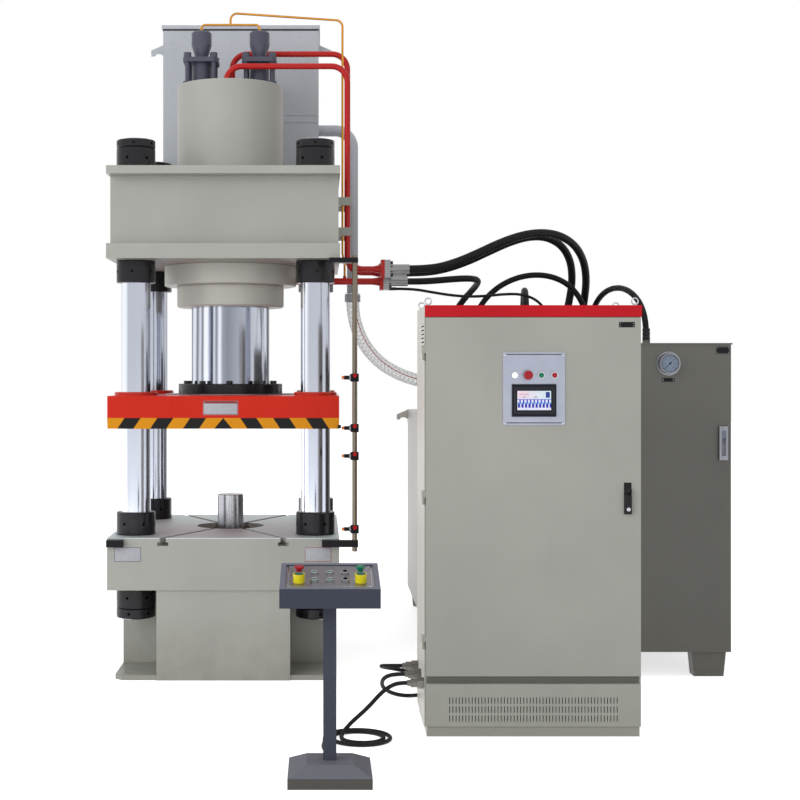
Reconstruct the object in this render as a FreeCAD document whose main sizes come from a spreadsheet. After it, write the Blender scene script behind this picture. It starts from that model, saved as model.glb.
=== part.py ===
import FreeCAD, Part
import math
import os
import Sketcher
from types import SimpleNamespace
from FreeCAD import Placement, Rotation, Vector

# Four-column hydraulic press with its overhead tank, operator pedestal, electrical cabinet and
# power unit. Millimetres; the origin is on the floor under the press, +X to the right, +Y to the back.

SIZES = {
    # bed
    "base_height": 452,
    "core_clearance": 27,
    "core_width": "=column_spacing_x - nut_diameter - 2 * core_clearance",
    "core_setback": 10,
    "core_depth": "=table_depth - 2 * core_setback",
    "wing_setback": 34,
    "wing_width": "=table_width - 2 * wing_setback",
    "wing_clearance": 67,
    "wing_depth": "=column_spacing_y - nut_diameter - 2 * wing_clearance",
    "base_wall": 30,
    "foot_thickness": 25,
    "foot_side_inset": 1,
    "foot_reach_x": "=wing_width / 2 - foot_side_inset",
    "foot_front_inset": 8,
    "foot_reach_y": "=core_depth / 2 - foot_front_inset",
    "foot_chamfer": 38,
    "anchor_side_edge": 55,
    "anchor_spacing_x": "=2 * (foot_reach_x - anchor_side_edge)",
    "anchor_front_edge": 83,
    "anchor_spacing_y": "=2 * (foot_reach_y - anchor_front_edge)",
    "anchor_hole": 26,
    "table_width": 1160,
    "table_depth": 1260,
    "table_thickness": 262,
    "table_top": "=base_height + table_thickness",
    "spot_face": 210,
    "spot_face_depth": 2,
    "table_bore": 360,
    "tslot_angle": 25.6,
    "tslot_neck": 28,
    "tslot_head": 50,
    "tslot_head_height": 18,
    "tslot_depth": 40,
    "tslot_length": 1470,
    "edge_chamfer": 3,
    # columns and nuts
    "column_diameter": 150,
    "column_edge_x": 120,
    "column_spacing_x": "=table_width - 2 * column_edge_x",
    "column_edge_y": 205,
    "column_spacing_y": "=table_depth - 2 * column_edge_y",
    "column_overrun": 6,
    "column_chamfer": 4,
    "running_fit": 0.05,
    "nut_diameter": 198,
    "nut_chamfer": 4,
    "bottom_nut_height": 112,
    "bottom_lock_height": 50,
    "table_nut_height": 117,
    "stop_nut_height": 114,
    "top_nut_height": 112,
    "top_lock_height": 41,
    "spanner_hole": 15,
    "spanner_depth": 22,
    # crosshead
    "frame_opening": 1398,
    "crosshead_bottom": "=table_top + frame_opening",
    "crosshead_side": 5,
    "crosshead_width": "=table_width + 2 * crosshead_side",
    "crosshead_depth": "=table_depth",
    "crosshead_height": 464,
    "crosshead_top": "=crosshead_bottom + crosshead_height",
    "lower_plate": 75,
    "upper_plate": 40,
    "crosshead_lip": 7,
    "crosshead_body_width": "=crosshead_width - 2 * crosshead_lip",
    "crosshead_shelf": 105,
    "crosshead_body_depth": "=crosshead_depth - 2 * crosshead_shelf",
    "crosshead_wall": 30,
    "column_tube": 190,
    "centre_tube": 640,
    # main cylinder
    "barrel_diameter": 572,
    "barrel_bore": 430,
    "barrel_rise": 504,
    "barrel_top": "=crosshead_top + barrel_rise",
    "barrel_drop": 112,
    "head_thickness": 120,
    "ring_diameter": 710,
    "ring_height": 106,
    "gland_diameter": 575,
    "gland_height": 109,
    "spigot_height": 60,
    "gland_chamfer": 8,
    "ram_diameter": 420,
    "piston_height": 120,
    "ram_length": 1132,
    "clamp_groove_diameter": 392,
    "clamp_groove_height": 28,
    "clamp_groove_level": 12,
    "clamp_diameter": 559,
    "clamp_height": 53,
    "clamp_split": 2,
    "clamp_bolt_circle": 486,
    "clamp_bolt_count": 10,
    "clamp_bolt_start": 20,
    "clamp_bolt_diameter": 20,
    "clamp_bolt_head": 30,
    "clamp_bolt_head_height": 16,
    "clamp_bolt_depth": 45,
    # slide
    "slide_rest_gap": 545,
    "slide_width": "=table_width",
    "slide_setback": 10,
    "slide_depth": "=table_depth - 2 * slide_setback",
    "slide_thickness": 164,
    "pad_diameter": 700,
    "pad_height": 5,
    "bush_diameter": 190,
    "bush_flange": 218,
    "bush_flange_height": 18,
    "striker_height": 17,
    "striker_level": 3,
    "striker_reach": 9,
    # ejector
    "ejector_diameter": 140,
    "ejector_rise": 171,
    "ejector_flange": 440,
    "ejector_flange_thickness": 35,
    "ejector_barrel": 260,
    "ejector_bore": 180,
    "ejector_length": 322,
    "ejector_floor": 25,
    "ejector_piston_height": 60,
    "ejector_top_gap": 17,
    "ejector_groove": 3,
    "ejector_groove_level": 55,
    # prefill valves
    "valve_spacing": 314,
    "valve_flange": 186,
    "valve_flange_chamfer": 22,
    "valve_flange_thickness": 24,
    "valve_body": 104,
    "valve_body_height": 104,
    "valve_stud": 25,
    "valve_stud_pitch": 140,
    "valve_nut": 36,
    "valve_nut_height": 26,
    "canister_neck": 72,
    "canister_neck_height": 19,
    "canister_diameter": 108,
    "canister_height": 153,
    "canister_taper_top": 78,
    "valve_port": 80,
    # overhead tank
    "tank_centre_x": 27,
    "tank_overlap": 85,
    "tank_front": "=crosshead_depth / 2 - tank_overlap",
    "tank_width": 898,
    "tank_depth": 480,
    "tank_wall": 6,
    "tank_height": 860,
    "rail_height": 80,
    "rail_width": 80,
    "rail_pitch": 500,
    "rail_reach": 330,
    "rail_front": "=crosshead_depth / 2 - rail_reach",
    "lid_thickness": 21,
    "lid_overhang": 8,
    "gasket_thickness": 10,
    "hook_reach": 75,
    "hook_height": 68,
    "hook_thickness": 12,
    "swage_height": 30,
    "swage_gap": 10,
    "swage_depth": 3,
    "swage_width": 190,
    "swage_level": 302,
    "suction_pipe": 90,
    "suction_bore": 78,
    # pipes
    "pressure_pipe": 32,
    "retract_pipe": 36,
    "pilot_pipe": 12,
    "return_pipe": 66,
    "return_setback": 155,
    "return_pipe_y": "=tank_front + return_setback",
    "return_gap": 90,
    "return_pipe_x": "=crosshead_width / 2 + return_gap",
    "return_rise": 387,
    "return_level": "=crosshead_top + return_rise",
    "return_drop": 102,
    "return_end": "=crosshead_bottom - return_drop",
    "hose_clamp_height": 45,
    "hose_clamp_wall": 8,
    "flange_overhang": 243,
    "flange_face_x": "=crosshead_width / 2 + flange_overhang",
    "flange_size": 95,
    "flange_red": 20,
    "flange_steel": 30,
    "flange_bolt": 16,
    "flange_bolt_head": 14,
    "flange_bolt_pitch": 64,
    "pipe_neck": 48,
    "pipe_neck_length": 38,
    "ferrule_diameter": 52,
    "ferrule_length": 103,
    "front_line_y": -112,
    "front_line_gap": 45,
    "front_line_x": "=crosshead_width / 2 + front_line_gap",
    "front_run_rise": 96,
    "front_run_level": "=barrel_top + front_run_rise",
    "flange_drop": 19,
    "front_flange_z": "=crosshead_bottom - flange_drop",
    "rear_line_gap": 50,
    "rear_line_x": "=crosshead_width / 2 + rear_line_gap",
    "rear_line_y": 165,
    "rear_run_rise": 220,
    "rear_run_level": "=barrel_top + rear_run_rise",
    "pipe_bend": 84,
    "retract_y": 45,
    "retract_drop": 75,
    "retract_z": "=crosshead_bottom - retract_drop",
    "pilot_line_gap": 21,
    "pilot_line_x": "=crosshead_width / 2 + pilot_line_gap",
    "pilot_line_y": 20,
    "pilot_bridge_rise": 343,
    "pilot_bridge_level": "=barrel_top + pilot_bridge_rise",
    "pilot_run_rise": 407,
    "pilot_run_level": "=barrel_top + pilot_run_rise",
    "pilot_fitting": 18,
    "pilot_fitting_height": 12,
    "bracket_thickness": 6,
    "bracket_height": 44,
    "bracket_low_rise": 180,
    "bracket_low_level": "=crosshead_bottom + bracket_low_rise",
    "bracket_high_rise": 341,
    "bracket_high_level": "=crosshead_bottom + bracket_high_rise",
    "clamp_block": 46,
    # switch bar
    "bar_diameter": 25,
    "bar_reach": 77,
    "bar_x": "=table_width / 2 + bar_reach",
    "bar_standoff": 20,
    "bar_y": "=-table_depth / 2 - bar_standoff",
    "bar_tail": 64,
    "bar_bottom": "=table_top - bar_tail",
    "bar_head": 12,
    "bar_length": "=bar_tail + frame_opening + bar_head",
    "arm_height": 34,
    "arm_depth": 35,
    "arm_nose": 17,
    "arm_end_x": "=bar_x + arm_nose",
    "arm_root": 86,
    "arm_start_x": "=table_width / 2 - arm_root",
    "arm_drop": 8,
    "top_arm_height": 25,
    "switch_block": 40,
    "switch_barrel": 20,
    "switch_nut": 27,
    "switch_tip": 16,
    "switch_gap": 12,
    "switch_tip_x": "=slide_width / 2 + switch_gap",
    "switch_tip_length": 12,
    "switch_barrel_x": "=switch_tip_x + switch_tip_length",
    "switch_knob": 20,
    "switch_knob_depth": 14,
    "switch_rise_top": 801,
    "switch_level_top": "=table_top + switch_rise_top",
    "switch_rise_upper": 550,
    "switch_level_upper": "=table_top + switch_rise_upper",
    "switch_rise_middle": 411,
    "switch_level_middle": "=table_top + switch_rise_middle",
    "switch_rise_low": 47,
    "switch_level_low": "=table_top + switch_rise_low",
    # pedestal
    "pedestal_x": 521,
    "pedestal_y": -2440,
    "pedestal_foot": 315,
    "pedestal_skirt": 40,
    "pedestal_cone_top": 175,
    "pedestal_cone_height": 35,
    "pedestal_post": 50,
    "pedestal_pad": 150,
    "pedestal_pad_thickness": 6,
    "console_width": 374,
    "console_depth": 320,
    "console_bottom": 668,
    "console_front_height": 72,
    "console_back_height": 128,
    "console_wall": 3,
    "panel_width": 334,
    "panel_length": 272,
    "panel_start": 26,
    "panel_sink": 4,
    "panel_thickness": 3,
    "panel_lip": 8,
    "panel_play": 0.3,
    "control_pitch": 58,
    "control_row_front": 97,
    "control_row_back": 190,
    "control_hole": 22.6,
    "control_ring": 29,
    "control_ring_height": 10,
    "control_cap": 22,
    "control_cap_height": 6.5,
    "cap_edge": 1,
    "mushroom_rim": 3,
    "mushroom_skirt": 8,
    "control_stem": 12,
    "control_block": 28,
    "control_block_depth": 38,
    "control_play": 0.3,
    "control_travel": 4,
    "mushroom_diameter": 38,
    "start_mushroom_diameter": 32,
    "mushroom_height": 30,
    "mushroom_lift": 15,
    "guard_diameter": 44,
    "guard_height": 33,
    "guard_wall": 3,
    "palm_height": 24,
    "selector_diameter": 20,
    "selector_height": 16,
    "selector_lever": 7,
    # cabinet
    "cabinet_left": 927,
    "cabinet_width": 916,
    "cabinet_front": -1788,
    "cabinet_depth": 500,
    "cabinet_height": 1820,
    "cabinet_wall": 3,
    "door_depth": 22,
    "door_side_gap": 4,
    "door_sill": 33,
    "door_bottom": "=vent_top + door_sill",
    "door_gap": 3,
    "door_top": "=header_bottom - door_gap",
    "frame_strip": 25,
    "header_height": 46,
    "header_bottom": "=cabinet_height - header_height",
    "header_rise": 3,
    "vent_bottom": "=plinth_height + door_gap",
    "vent_top": 223,
    "plinth_height": 40,
    "plinth_inset": 8,
    "vent_slot_width": 3.4,
    "vent_slot_height": 27,
    "vent_slot_pitch": 13.6,
    "vent_slot_columns": 53,
    "vent_row_pitch": 38,
    "vent_row_rise": 21,
    "vent_row_level": "=vent_bottom + vent_row_rise",
    "louvre_length": 150,
    "louvre_height": 6,
    "louvre_pitch": 17,
    "louvre_count": 8,
    "louvre_drop": 205,
    "louvre_level": "=cabinet_height - louvre_drop",
    "hinge_diameter": 14,
    "hinge_pin": 7,
    "hinge_length": 60,
    "hinge_offset": 7,
    "hinge_rise": 144,
    "hinge_level_low": "=door_bottom + hinge_rise",
    "hinge_level_middle": "=(hinge_level_low + hinge_level_high) / 2",
    "hinge_drop": 151,
    "hinge_level_high": "=door_top - hinge_drop",
    "hinge_gap": 0.5,
    "hinge_leaf": 6,
    "hinge_leaf_reach": 30,
    "gland_level": 216,
    "gland_inset": 60,
    "gland_first_y": "=cabinet_front + gland_inset",
    "gland_pitch": 189,
    "cable_gland": 42,
    "cable_gland_body": 30,
    "cable_gland_nut": 38,
    "cable_gland_nut_length": 27,
    "cable_gland_seal": 26,
    "cable_gland_seal_length": 15,
    "cable_diameter": 18,
    "plate_back_gap": 25,
    "plate_margin": 34,
    "gear_module": 10,
    # operator panel
    "operator_inset": 460,
    "operator_x": "=cabinet_left + operator_inset",
    "operator_width": 262,
    "operator_drop": 147,
    "operator_bottom": "=door_top - operator_drop - operator_height",
    "operator_height": 307,
    "operator_thickness": 4,
    "screen_bezel_width": 187,
    "screen_bezel_height": 137,
    "bezel_rise": 35,
    "screen_bezel_bottom": "=operator_bottom + bezel_rise",
    "screen_bezel_depth": 7,
    "screen_body_inset": 6,
    "screen_body_depth": 42,
    "screen_width": 143,
    "screen_height": 82,
    "screen_sink": 2,
    "door_button_rise": 210,
    "door_button_z": "=operator_bottom + door_button_rise",
    "door_button_pitch": 56,
    "lamp_offset": 82,
    "door_lamp_x": "=operator_x - lamp_offset",
    "door_ring_height": 8,
    "door_mushroom_height": 26,
    "door_mushroom_lift": 13,
    "handle_inset": 60,
    "handle_x": "=cabinet_left + cabinet_width - handle_inset",
    "handle_pivot_z": 1040,
    "handle_length": 97,
    "handle_width": 28,
    "handle_thickness": 14,
    "handle_gap": 4,
    "handle_head_width": 18,
    "handle_head_height": 24,
    "handle_pin": 5,
    "handle_ear": 15,
    "handle_spindle": 16,
    "latch_length": 30,
    "latch_width": 18,
    "latch_thickness": 5,
    "latch_depth": 46,
    "latch_gap": 1,
    # power unit
    "oil_tank_right": 2564,
    "oil_tank_width": 924,
    "oil_tank_front": -530,
    "oil_tank_depth": 850,
    "unit_foot_height": 126,
    "oil_tank_top": 1690,
    "unit_wall": 5,
    "unit_foot_top": 176,
    "unit_foot_bottom": 150,
    "unit_foot_depth": 90,
    "unit_foot_inset": 20,
    "oil_tank_lid": 8,
    "oil_tank_lid_overhang": 6,
    "gauge_inset": 317,
    "gauge_x": "=oil_tank_right - gauge_inset",
    "gauge_drop": 104,
    "gauge_z": "=oil_tank_top - gauge_drop",
    "gauge_flange": 122,
    "gauge_flange_thickness": 5,
    "gauge_diameter": 96,
    "gauge_bezel": 100,
    "gauge_depth": 32,
    "gauge_bezel_depth": 8,
    "gauge_sink": 3,
    "level_gauge_inset": 43,
    "level_gauge_x": "=oil_tank_right - level_gauge_inset",
    "level_gauge_drop": 592,
    "level_gauge_z": "=oil_tank_top - level_gauge_drop",
    "level_gauge_width": 43,
    "level_gauge_height": 171,
    "level_gauge_depth": 24,
    "low_tank_left": 1068,
    "low_tank_width": 1232,
    "low_tank_front": 340,
    "low_tank_depth": 1554,
    "low_tank_top": 1301,
    "manifold_x": 1905,
    "manifold_y": 470,
    "manifold_width": 330,
    "manifold_depth": 240,
    "manifold_height": 250,
    "port_diameter": 52,
    "port_height": 40,
    "small_port": 40,
    "return_port": 84,
    "filter_diameter": 140,
    "filter_cap": 156,
    "filter_reach": 130,
    "motor_x": 1420,
    "motor_y": 1120,
    "motor_diameter": 300,
    "motor_length": 430,
    "motor_height": 185,
    "bell_diameter": 240,
    "bell_length": 130,
    "pump_diameter": 170,
    "pump_length": 190,
    "junction_x": 1250,
    "junction_width": 220,
    "junction_height": 260,
    "junction_depth": 110,
    "junction_bottom": 180,
    # hoses
    "main_hose": 43,
    "fold_hose": 36,
    "jumper_hose": 32,
    "over_hose": 38,
    "pilot_hose": 15,
    "clear_hose": 76,
    # loose loops of the pedestal cable
    "loop_start_x": 574,
    "loop_start_y": -1838,
    "loop_radius": 137,
    "loop_step": 14,
    "loop_landing": 7,
    "loop_half_turns": 4,
}


class Size:
    """A number together with the sheet formula that gives it."""

    def __init__(self, formula, number):
        self.formula = formula
        self.number = number

    def __float__(self):
        return self.number

    def __add__(self, other):
        other = as_size(other)
        return Size(f"({self.formula} + {other.formula})", self.number + other.number)

    def __sub__(self, other):
        other = as_size(other)
        return Size(f"({self.formula} - {other.formula})", self.number - other.number)

    def __mul__(self, other):
        other = as_size(other)
        return Size(f"({self.formula} * {other.formula})", self.number * other.number)

    def __truediv__(self, other):
        other = as_size(other)
        return Size(f"({self.formula} / {other.formula})", self.number / other.number)

    def __radd__(self, other):
        return as_size(other) + self

    def __rsub__(self, other):
        return as_size(other) - self

    def __rmul__(self, other):
        return as_size(other) * self

    def __neg__(self):
        return as_size(0) - self


def as_size(value):
    return value if isinstance(value, Size) else Size(f"({value:.9g})", float(value))


doc = FreeCAD.newDocument("HydraulicPress")
sheet = doc.addObject("Spreadsheet::Sheet", "Sizes")
for row, alias in enumerate(SIZES, start=1):
    sheet.set(f"A{row}", alias)
    sheet.setAlias(f"B{row}", alias)
for row, value in enumerate(SIZES.values(), start=1):
    sheet.set(f"B{row}", str(value))
doc.recompute()
dim = SimpleNamespace(**{alias: Size(f"Sizes.{alias}", float(sheet.get(alias))) for alias in SIZES})

sub_parts = {}


# ---------------------------------------------------------------- building blocks

TURN = {
    "X": Rotation(Vector(0, 1, 0), 90),
    "Y": Rotation(Vector(1, 0, 0), -90),
    "Z": Rotation(),
}
PAD_TURN = {
    "X": Rotation(Vector(1, 1, 1), 120),
    "Y": Rotation(Vector(1, 0, 0), 90),
    "Z": Rotation(),
}


def bind(feature, prop, value):
    feature.setExpression(prop, as_size(value).formula)


def seat(feature, x, y, z, rotation=Rotation()):
    """Puts a feature at (x, y, z) and ties each coordinate to its formula."""
    feature.Placement = Placement(Vector(float(x), float(y), float(z)), rotation)
    for axis, value in zip("xyz", (x, y, z)):
        if isinstance(value, Size):
            bind(feature, f".Placement.Base.{axis}", value)
    return feature


def point_on(axis, centre, along):
    a, b = centre
    return {"X": (along, a, b), "Y": (a, along, b), "Z": (a, b, along)}[axis]


def block(x, y, z):
    """Box between two planes on each axis."""
    box = doc.addObject("Part::Box", "Block")
    for prop, (low, high) in zip(("Length", "Width", "Height"), (x, y, z)):
        bind(box, prop, as_size(high) - low)
    return seat(box, x[0], y[0], z[0])


def rod(axis, centre, span, diameter):
    """Cylinder along an axis, from the first to the second plane of its span."""
    cylinder = doc.addObject("Part::Cylinder", "Rod")
    bind(cylinder, "Radius", as_size(diameter) / 2)
    bind(cylinder, "Height", as_size(span[1]) - span[0])
    return seat(cylinder, *point_on(axis, centre, span[0]), TURN[axis])


def cone(axis, centre, span, start_diameter, end_diameter):
    shape = doc.addObject("Part::Cone", "Taper")
    bind(shape, "Radius1", as_size(start_diameter) / 2)
    bind(shape, "Radius2", as_size(end_diameter) / 2)
    bind(shape, "Height", as_size(span[1]) - span[0])
    return seat(shape, *point_on(axis, centre, span[0]), TURN[axis])


def hexagon(axis, centre, span, across_flats):
    prism = doc.addObject("Part::Prism", "Hexagon")
    prism.Polygon = 6
    bind(prism, "Circumradius", as_size(across_flats) / math.sqrt(3))
    bind(prism, "Height", as_size(span[1]) - span[0])
    return seat(prism, *point_on(axis, centre, span[0]), TURN[axis])


def radial_rod(centre, level, angle, inner_radius, outer_radius, diameter):
    """Level cylinder that points away from a vertical axis at an angle in degrees."""
    x, y = centre
    turn = math.radians(angle)
    cylinder = doc.addObject("Part::Cylinder", "RadialRod")
    bind(cylinder, "Radius", diameter / 2)
    bind(cylinder, "Height", outer_radius - inner_radius)
    spin = Rotation(Vector(0, 0, 1), angle) * TURN["X"]
    return seat(cylinder, x + inner_radius * math.cos(turn), y + inner_radius * math.sin(turn), level, spin)


def fuse(*shapes):
    joined = doc.addObject("Part::MultiFuse", "Joined")
    joined.Shapes = list(shapes)
    joined.Refine = True
    return joined


def cut(base, *tools):
    removed = doc.addObject("Part::Cut", "Cut")
    removed.Base = base
    removed.Tool = tools[0] if len(tools) == 1 else group(*tools)
    removed.Refine = True
    return removed


def group(*shapes):
    """Separate solids kept side by side in one feature."""
    compound = doc.addObject("Part::Compound", "Group")
    compound.Links = list(shapes)
    return compound


def mirrored(shape, normal):
    copy = doc.addObject("Part::Mirroring", "Mirrored")
    copy.Source = shape
    copy.Base = Vector(0, 0, 0)
    copy.Normal = normal
    return copy


def at_corners(shape):
    """The shape and its copies in the other three corners about the press axis."""
    right_left = [shape, mirrored(shape, Vector(1, 0, 0))]
    return right_left + [mirrored(one, Vector(0, 1, 0)) for one in right_left]


def draw_outline(body, plane, outline):
    """Closed sketch on an origin plane; two bound distances hold each corner."""
    sketch = body.newObject("Sketcher::SketchObject", "Outline")
    datum = next(one for one in body.Origin.OriginFeatures if one.Role == plane)
    sketch.AttachmentSupport = [(datum, "")]
    sketch.MapMode = "FlatFace"
    corners = [Vector(float(u), float(v), 0) for u, v in outline]
    for start, end in zip(corners, corners[1:] + corners[:1]):
        sketch.addGeometry(Part.LineSegment(start, end), False)
    for i in range(len(corners)):
        sketch.addConstraint(Sketcher.Constraint("Coincident", i, 2, (i + 1) % len(corners), 1))
    for i, corner in enumerate(outline):
        for kind, value in zip(("DistanceX", "DistanceY"), corner):
            rule = sketch.addConstraint(Sketcher.Constraint(kind, -1, 1, i, 1, float(value)))
            if isinstance(value, Size):
                bind(sketch, f"Constraints[{rule}]", value)
    return sketch


def turned(outline, x=0, y=0, z=0, rotation=Rotation()):
    """Body turned about its own vertical axis from (radius, height) corners."""
    body = doc.addObject("PartDesign::Body", "TurnedBody")
    sketch = draw_outline(body, "XZ_Plane", outline)
    revolution = body.newObject("PartDesign::Revolution", "Revolution")
    revolution.Profile = sketch
    revolution.ReferenceAxis = (sketch, ["V_Axis"])
    revolution.Angle = 360
    return seat(body, x, y, z, rotation)


def padded(axis, outline, span):
    """Body with an outline across an axis, padded over its span along that axis."""
    body = doc.addObject("PartDesign::Body", "PaddedBody")
    pad = body.newObject("PartDesign::Pad", "Pad")
    pad.Profile = draw_outline(body, "XY_Plane", outline)
    bind(pad, "Length", as_size(span[1]) - span[0])
    start = span[1] if axis == "Y" else span[0]
    return seat(body, *point_on(axis, (0, 0), start), PAD_TURN[axis])


def pan(x, y, z, wall):
    """Shallow sheet-metal tray, open to the back."""
    hollow = block((x[0] + wall, x[1] - wall), (y[0] + wall, y[1] + wall), (z[0] + wall, z[1] - wall))
    return cut(block(x, y, z), hollow)


def hollow_box(x, y, z, wall):
    inner = [(low + wall, high - wall) for low, high in (x, y, z)]
    return cut(block(x, y, z), block(*inner))


def sub_part(name, feature):
    feature.Label = name
    sub_parts[name] = feature
    return feature


def solid_feature(shape):
    feature = doc.addObject("Part::Feature", "Tube")
    feature.Shape = shape
    return feature


# ---------------------------------------------------------------- hoses, cables and bent pipes

RUN_SHARE = 0.45


def bend_path(points, radius=None):
    """Straight runs joined by tangent arcs; returns the wire and the arcs' radii."""
    corners = [Vector(*[float(value) for value in point]) for point in points]
    edges = []
    radii = []
    last = corners[0]
    for before, corner, after in zip(corners, corners[1:], corners[2:]):
        back = (before - corner).normalize()
        ahead = (after - corner).normalize()
        half_turn = (math.pi - back.getAngle(ahead)) / 2
        shorter = min((before - corner).Length, (after - corner).Length)
        arc_radius = radius or RUN_SHARE * shorter / math.tan(half_turn)
        reach = arc_radius * math.tan(half_turn)
        start = corner + back * reach
        end = corner + ahead * reach
        centre = corner + (back + ahead).normalize() * (arc_radius / math.cos(half_turn))
        middle = centre + (corner - centre).normalize() * arc_radius
        edges.append(Part.LineSegment(last, start).toShape())
        edges.append(Part.Arc(start, middle, end).toShape())
        radii.append(arc_radius)
        last = end
    edges.append(Part.LineSegment(last, corners[-1]).toShape())
    return Part.Wire(edges), radii


def sweep(wire, diameter):
    start = wire.Edges[0].Vertexes[0].Point
    heading = wire.Edges[0].tangentAt(wire.Edges[0].FirstParameter)
    section = Part.Wire(Part.Circle(start, heading, diameter / 2).toShape())
    return wire.makePipeShell([section], True, False)


def bent_tube(points, diameter, radius=None):
    wire, radii = bend_path(points, radius)
    return solid_feature(sweep(wire, float(diameter)))


def cord(label, points, diameter):
    """Free hose or cable; prints its length, its tightest arc and how true its volume is."""
    diameter = float(diameter)
    wire, radii = bend_path(points)
    shape = sweep(wire, diameter)
    runs = [(Vector(*b) - Vector(*a)).Length for a, b in zip(points, points[1:])]
    true_share = shape.Volume / (math.pi * diameter ** 2 / 4 * wire.Length)
    print(f"{label}: length {wire.Length:.0f}, radii {min(radii):.0f} or more "
          f"({min(radii) / diameter:.1f} diameters), runs {min(runs):.0f} to {max(runs):.0f}, "
          f"volume share {true_share:.4f}")
    return solid_feature(shape)


# ---------------------------------------------------------------- levels and shared places

table_top = dim.table_top
crosshead_bottom = dim.crosshead_bottom
crosshead_top = dim.crosshead_top
slide_bottom = table_top + dim.slide_rest_gap
slide_top = slide_bottom + dim.slide_thickness
pad_top = slide_top + dim.pad_height
barrel_top = dim.barrel_top
barrel_bottom = crosshead_bottom - dim.barrel_drop
nut_seat = table_top - dim.spot_face_depth
column_centre = (dim.column_spacing_x / 2, dim.column_spacing_y / 2)
column_hole = dim.column_diameter + 2 * dim.running_fit
table_front = -dim.table_depth / 2


def column_bores(span, diameter):
    return at_corners(rod("Z", column_centre, span, diameter))


# ---------------------------------------------------------------- bed

def bed_base():
    core_x = dim.core_width / 2
    core_y = dim.core_depth / 2
    wing_x = dim.wing_width / 2
    wing_y = dim.wing_depth / 2
    wall = dim.base_wall
    height = (0, dim.base_height)
    inside = (dim.foot_thickness, dim.base_height)
    chamfer = dim.foot_chamfer
    foot_outline = [
        (core_x - wall / 2, wing_y - wall / 2),
        (dim.foot_reach_x, wing_y - wall / 2),
        (dim.foot_reach_x, dim.foot_reach_y - chamfer),
        (dim.foot_reach_x - chamfer, dim.foot_reach_y),
        (core_x - wall / 2, dim.foot_reach_y),
    ]
    feet = at_corners(padded("Z", foot_outline, (0, dim.foot_thickness)))
    outside = fuse(
        block((-core_x, core_x), (-core_y, core_y), height),
        block((-wing_x, wing_x), (-wing_y, wing_y), height),
        *feet,
    )
    hollow = fuse(
        block((wall - core_x, core_x - wall), (wall - core_y, core_y - wall), inside),
        block((wall - wing_x, wing_x - wall), (wall - wing_y, wing_y - wall), inside),
    )
    anchor = (dim.anchor_spacing_x / 2, dim.anchor_spacing_y / 2)
    holes = at_corners(rod("Z", anchor, (0, dim.foot_thickness), dim.anchor_hole))
    sub_part("bed_base", cut(outside, hollow, *holes))


def tee_slot(angle):
    """T-shaped cutter through the press axis, turned from the front-to-back line."""
    neck = dim.tslot_neck / 2
    head = dim.tslot_head / 2
    floor = table_top - dim.tslot_depth
    shoulder = floor + dim.tslot_head_height
    above = table_top + dim.edge_chamfer
    outline = [
        (-head, floor),
        (head, floor),
        (head, shoulder),
        (neck, shoulder),
        (neck, above),
        (-neck, above),
        (-neck, shoulder),
        (-head, shoulder),
    ]
    cutter = padded("Y", outline, (0, dim.tslot_length))
    spin = Rotation(Vector(0, 0, 1), angle)
    turn = math.radians(angle)
    half = dim.tslot_length / 2
    return seat(cutter, -half * math.sin(turn), half * math.cos(turn), 0, spin * PAD_TURN["Y"])


def bed_table():
    slab = block(
        (-dim.table_width / 2, dim.table_width / 2),
        (table_front, dim.table_depth / 2),
        (dim.base_height, table_top),
    )
    through = (dim.base_height, table_top)
    centre_bore = rod("Z", (0, 0), through, dim.table_bore)
    angle = float(dim.tslot_angle)
    slots = [tee_slot(angle), tee_slot(-angle)]
    spot_faces = column_bores((nut_seat, table_top), dim.spot_face)
    bores = column_bores(through, column_hole)
    sub_part("bed_table", cut(slab, centre_bore, *slots, *spot_faces, *bores))


# ---------------------------------------------------------------- columns and nuts

def columns():
    low = dim.base_height - dim.bottom_nut_height - dim.bottom_lock_height - dim.column_overrun
    high = crosshead_top + dim.top_nut_height + dim.top_lock_height + dim.column_overrun
    radius = dim.column_diameter / 2
    chamfer = dim.column_chamfer
    outline = [
        (0, low),
        (radius - chamfer, low),
        (radius, low + chamfer),
        (radius, high - chamfer),
        (radius - chamfer, high),
        (0, high),
    ]
    sub_part("columns", group(*at_corners(turned(outline, *column_centre))))


def column_nut(low, height, first_hole):
    """Round nut with a ring of blind spanner holes at half its height."""
    radius = dim.nut_diameter / 2
    bore = column_hole / 2
    chamfer = dim.nut_chamfer
    outline = [
        (bore, low),
        (radius - chamfer, low),
        (radius, low + chamfer),
        (radius, low + height - chamfer),
        (radius - chamfer, low + height),
        (bore, low + height),
    ]
    holes = [
        radial_rod(
            column_centre,
            low + height / 2,
            first_hole + turn,
            radius - dim.spanner_depth,
            radius + chamfer,
            dim.spanner_hole,
        )
        for turn in range(0, 360, 60)
    ]
    return cut(turned(outline, *column_centre), *holes)


def column_nuts():
    bottom_nut = dim.base_height - dim.bottom_nut_height
    top_lock = crosshead_top + dim.top_nut_height
    stack = [
        column_nut(bottom_nut, dim.bottom_nut_height, 10),
        column_nut(bottom_nut - dim.bottom_lock_height, dim.bottom_lock_height, 15),
        column_nut(nut_seat, dim.table_nut_height, 0),
        column_nut(crosshead_bottom - dim.stop_nut_height, dim.stop_nut_height, 25),
        column_nut(crosshead_top, dim.top_nut_height, 10),
        column_nut(top_lock, dim.top_lock_height, 30),
    ]
    sub_part("column_nuts", group(*[copy for nut in stack for copy in at_corners(nut)]))


# ---------------------------------------------------------------- crosshead

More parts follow.
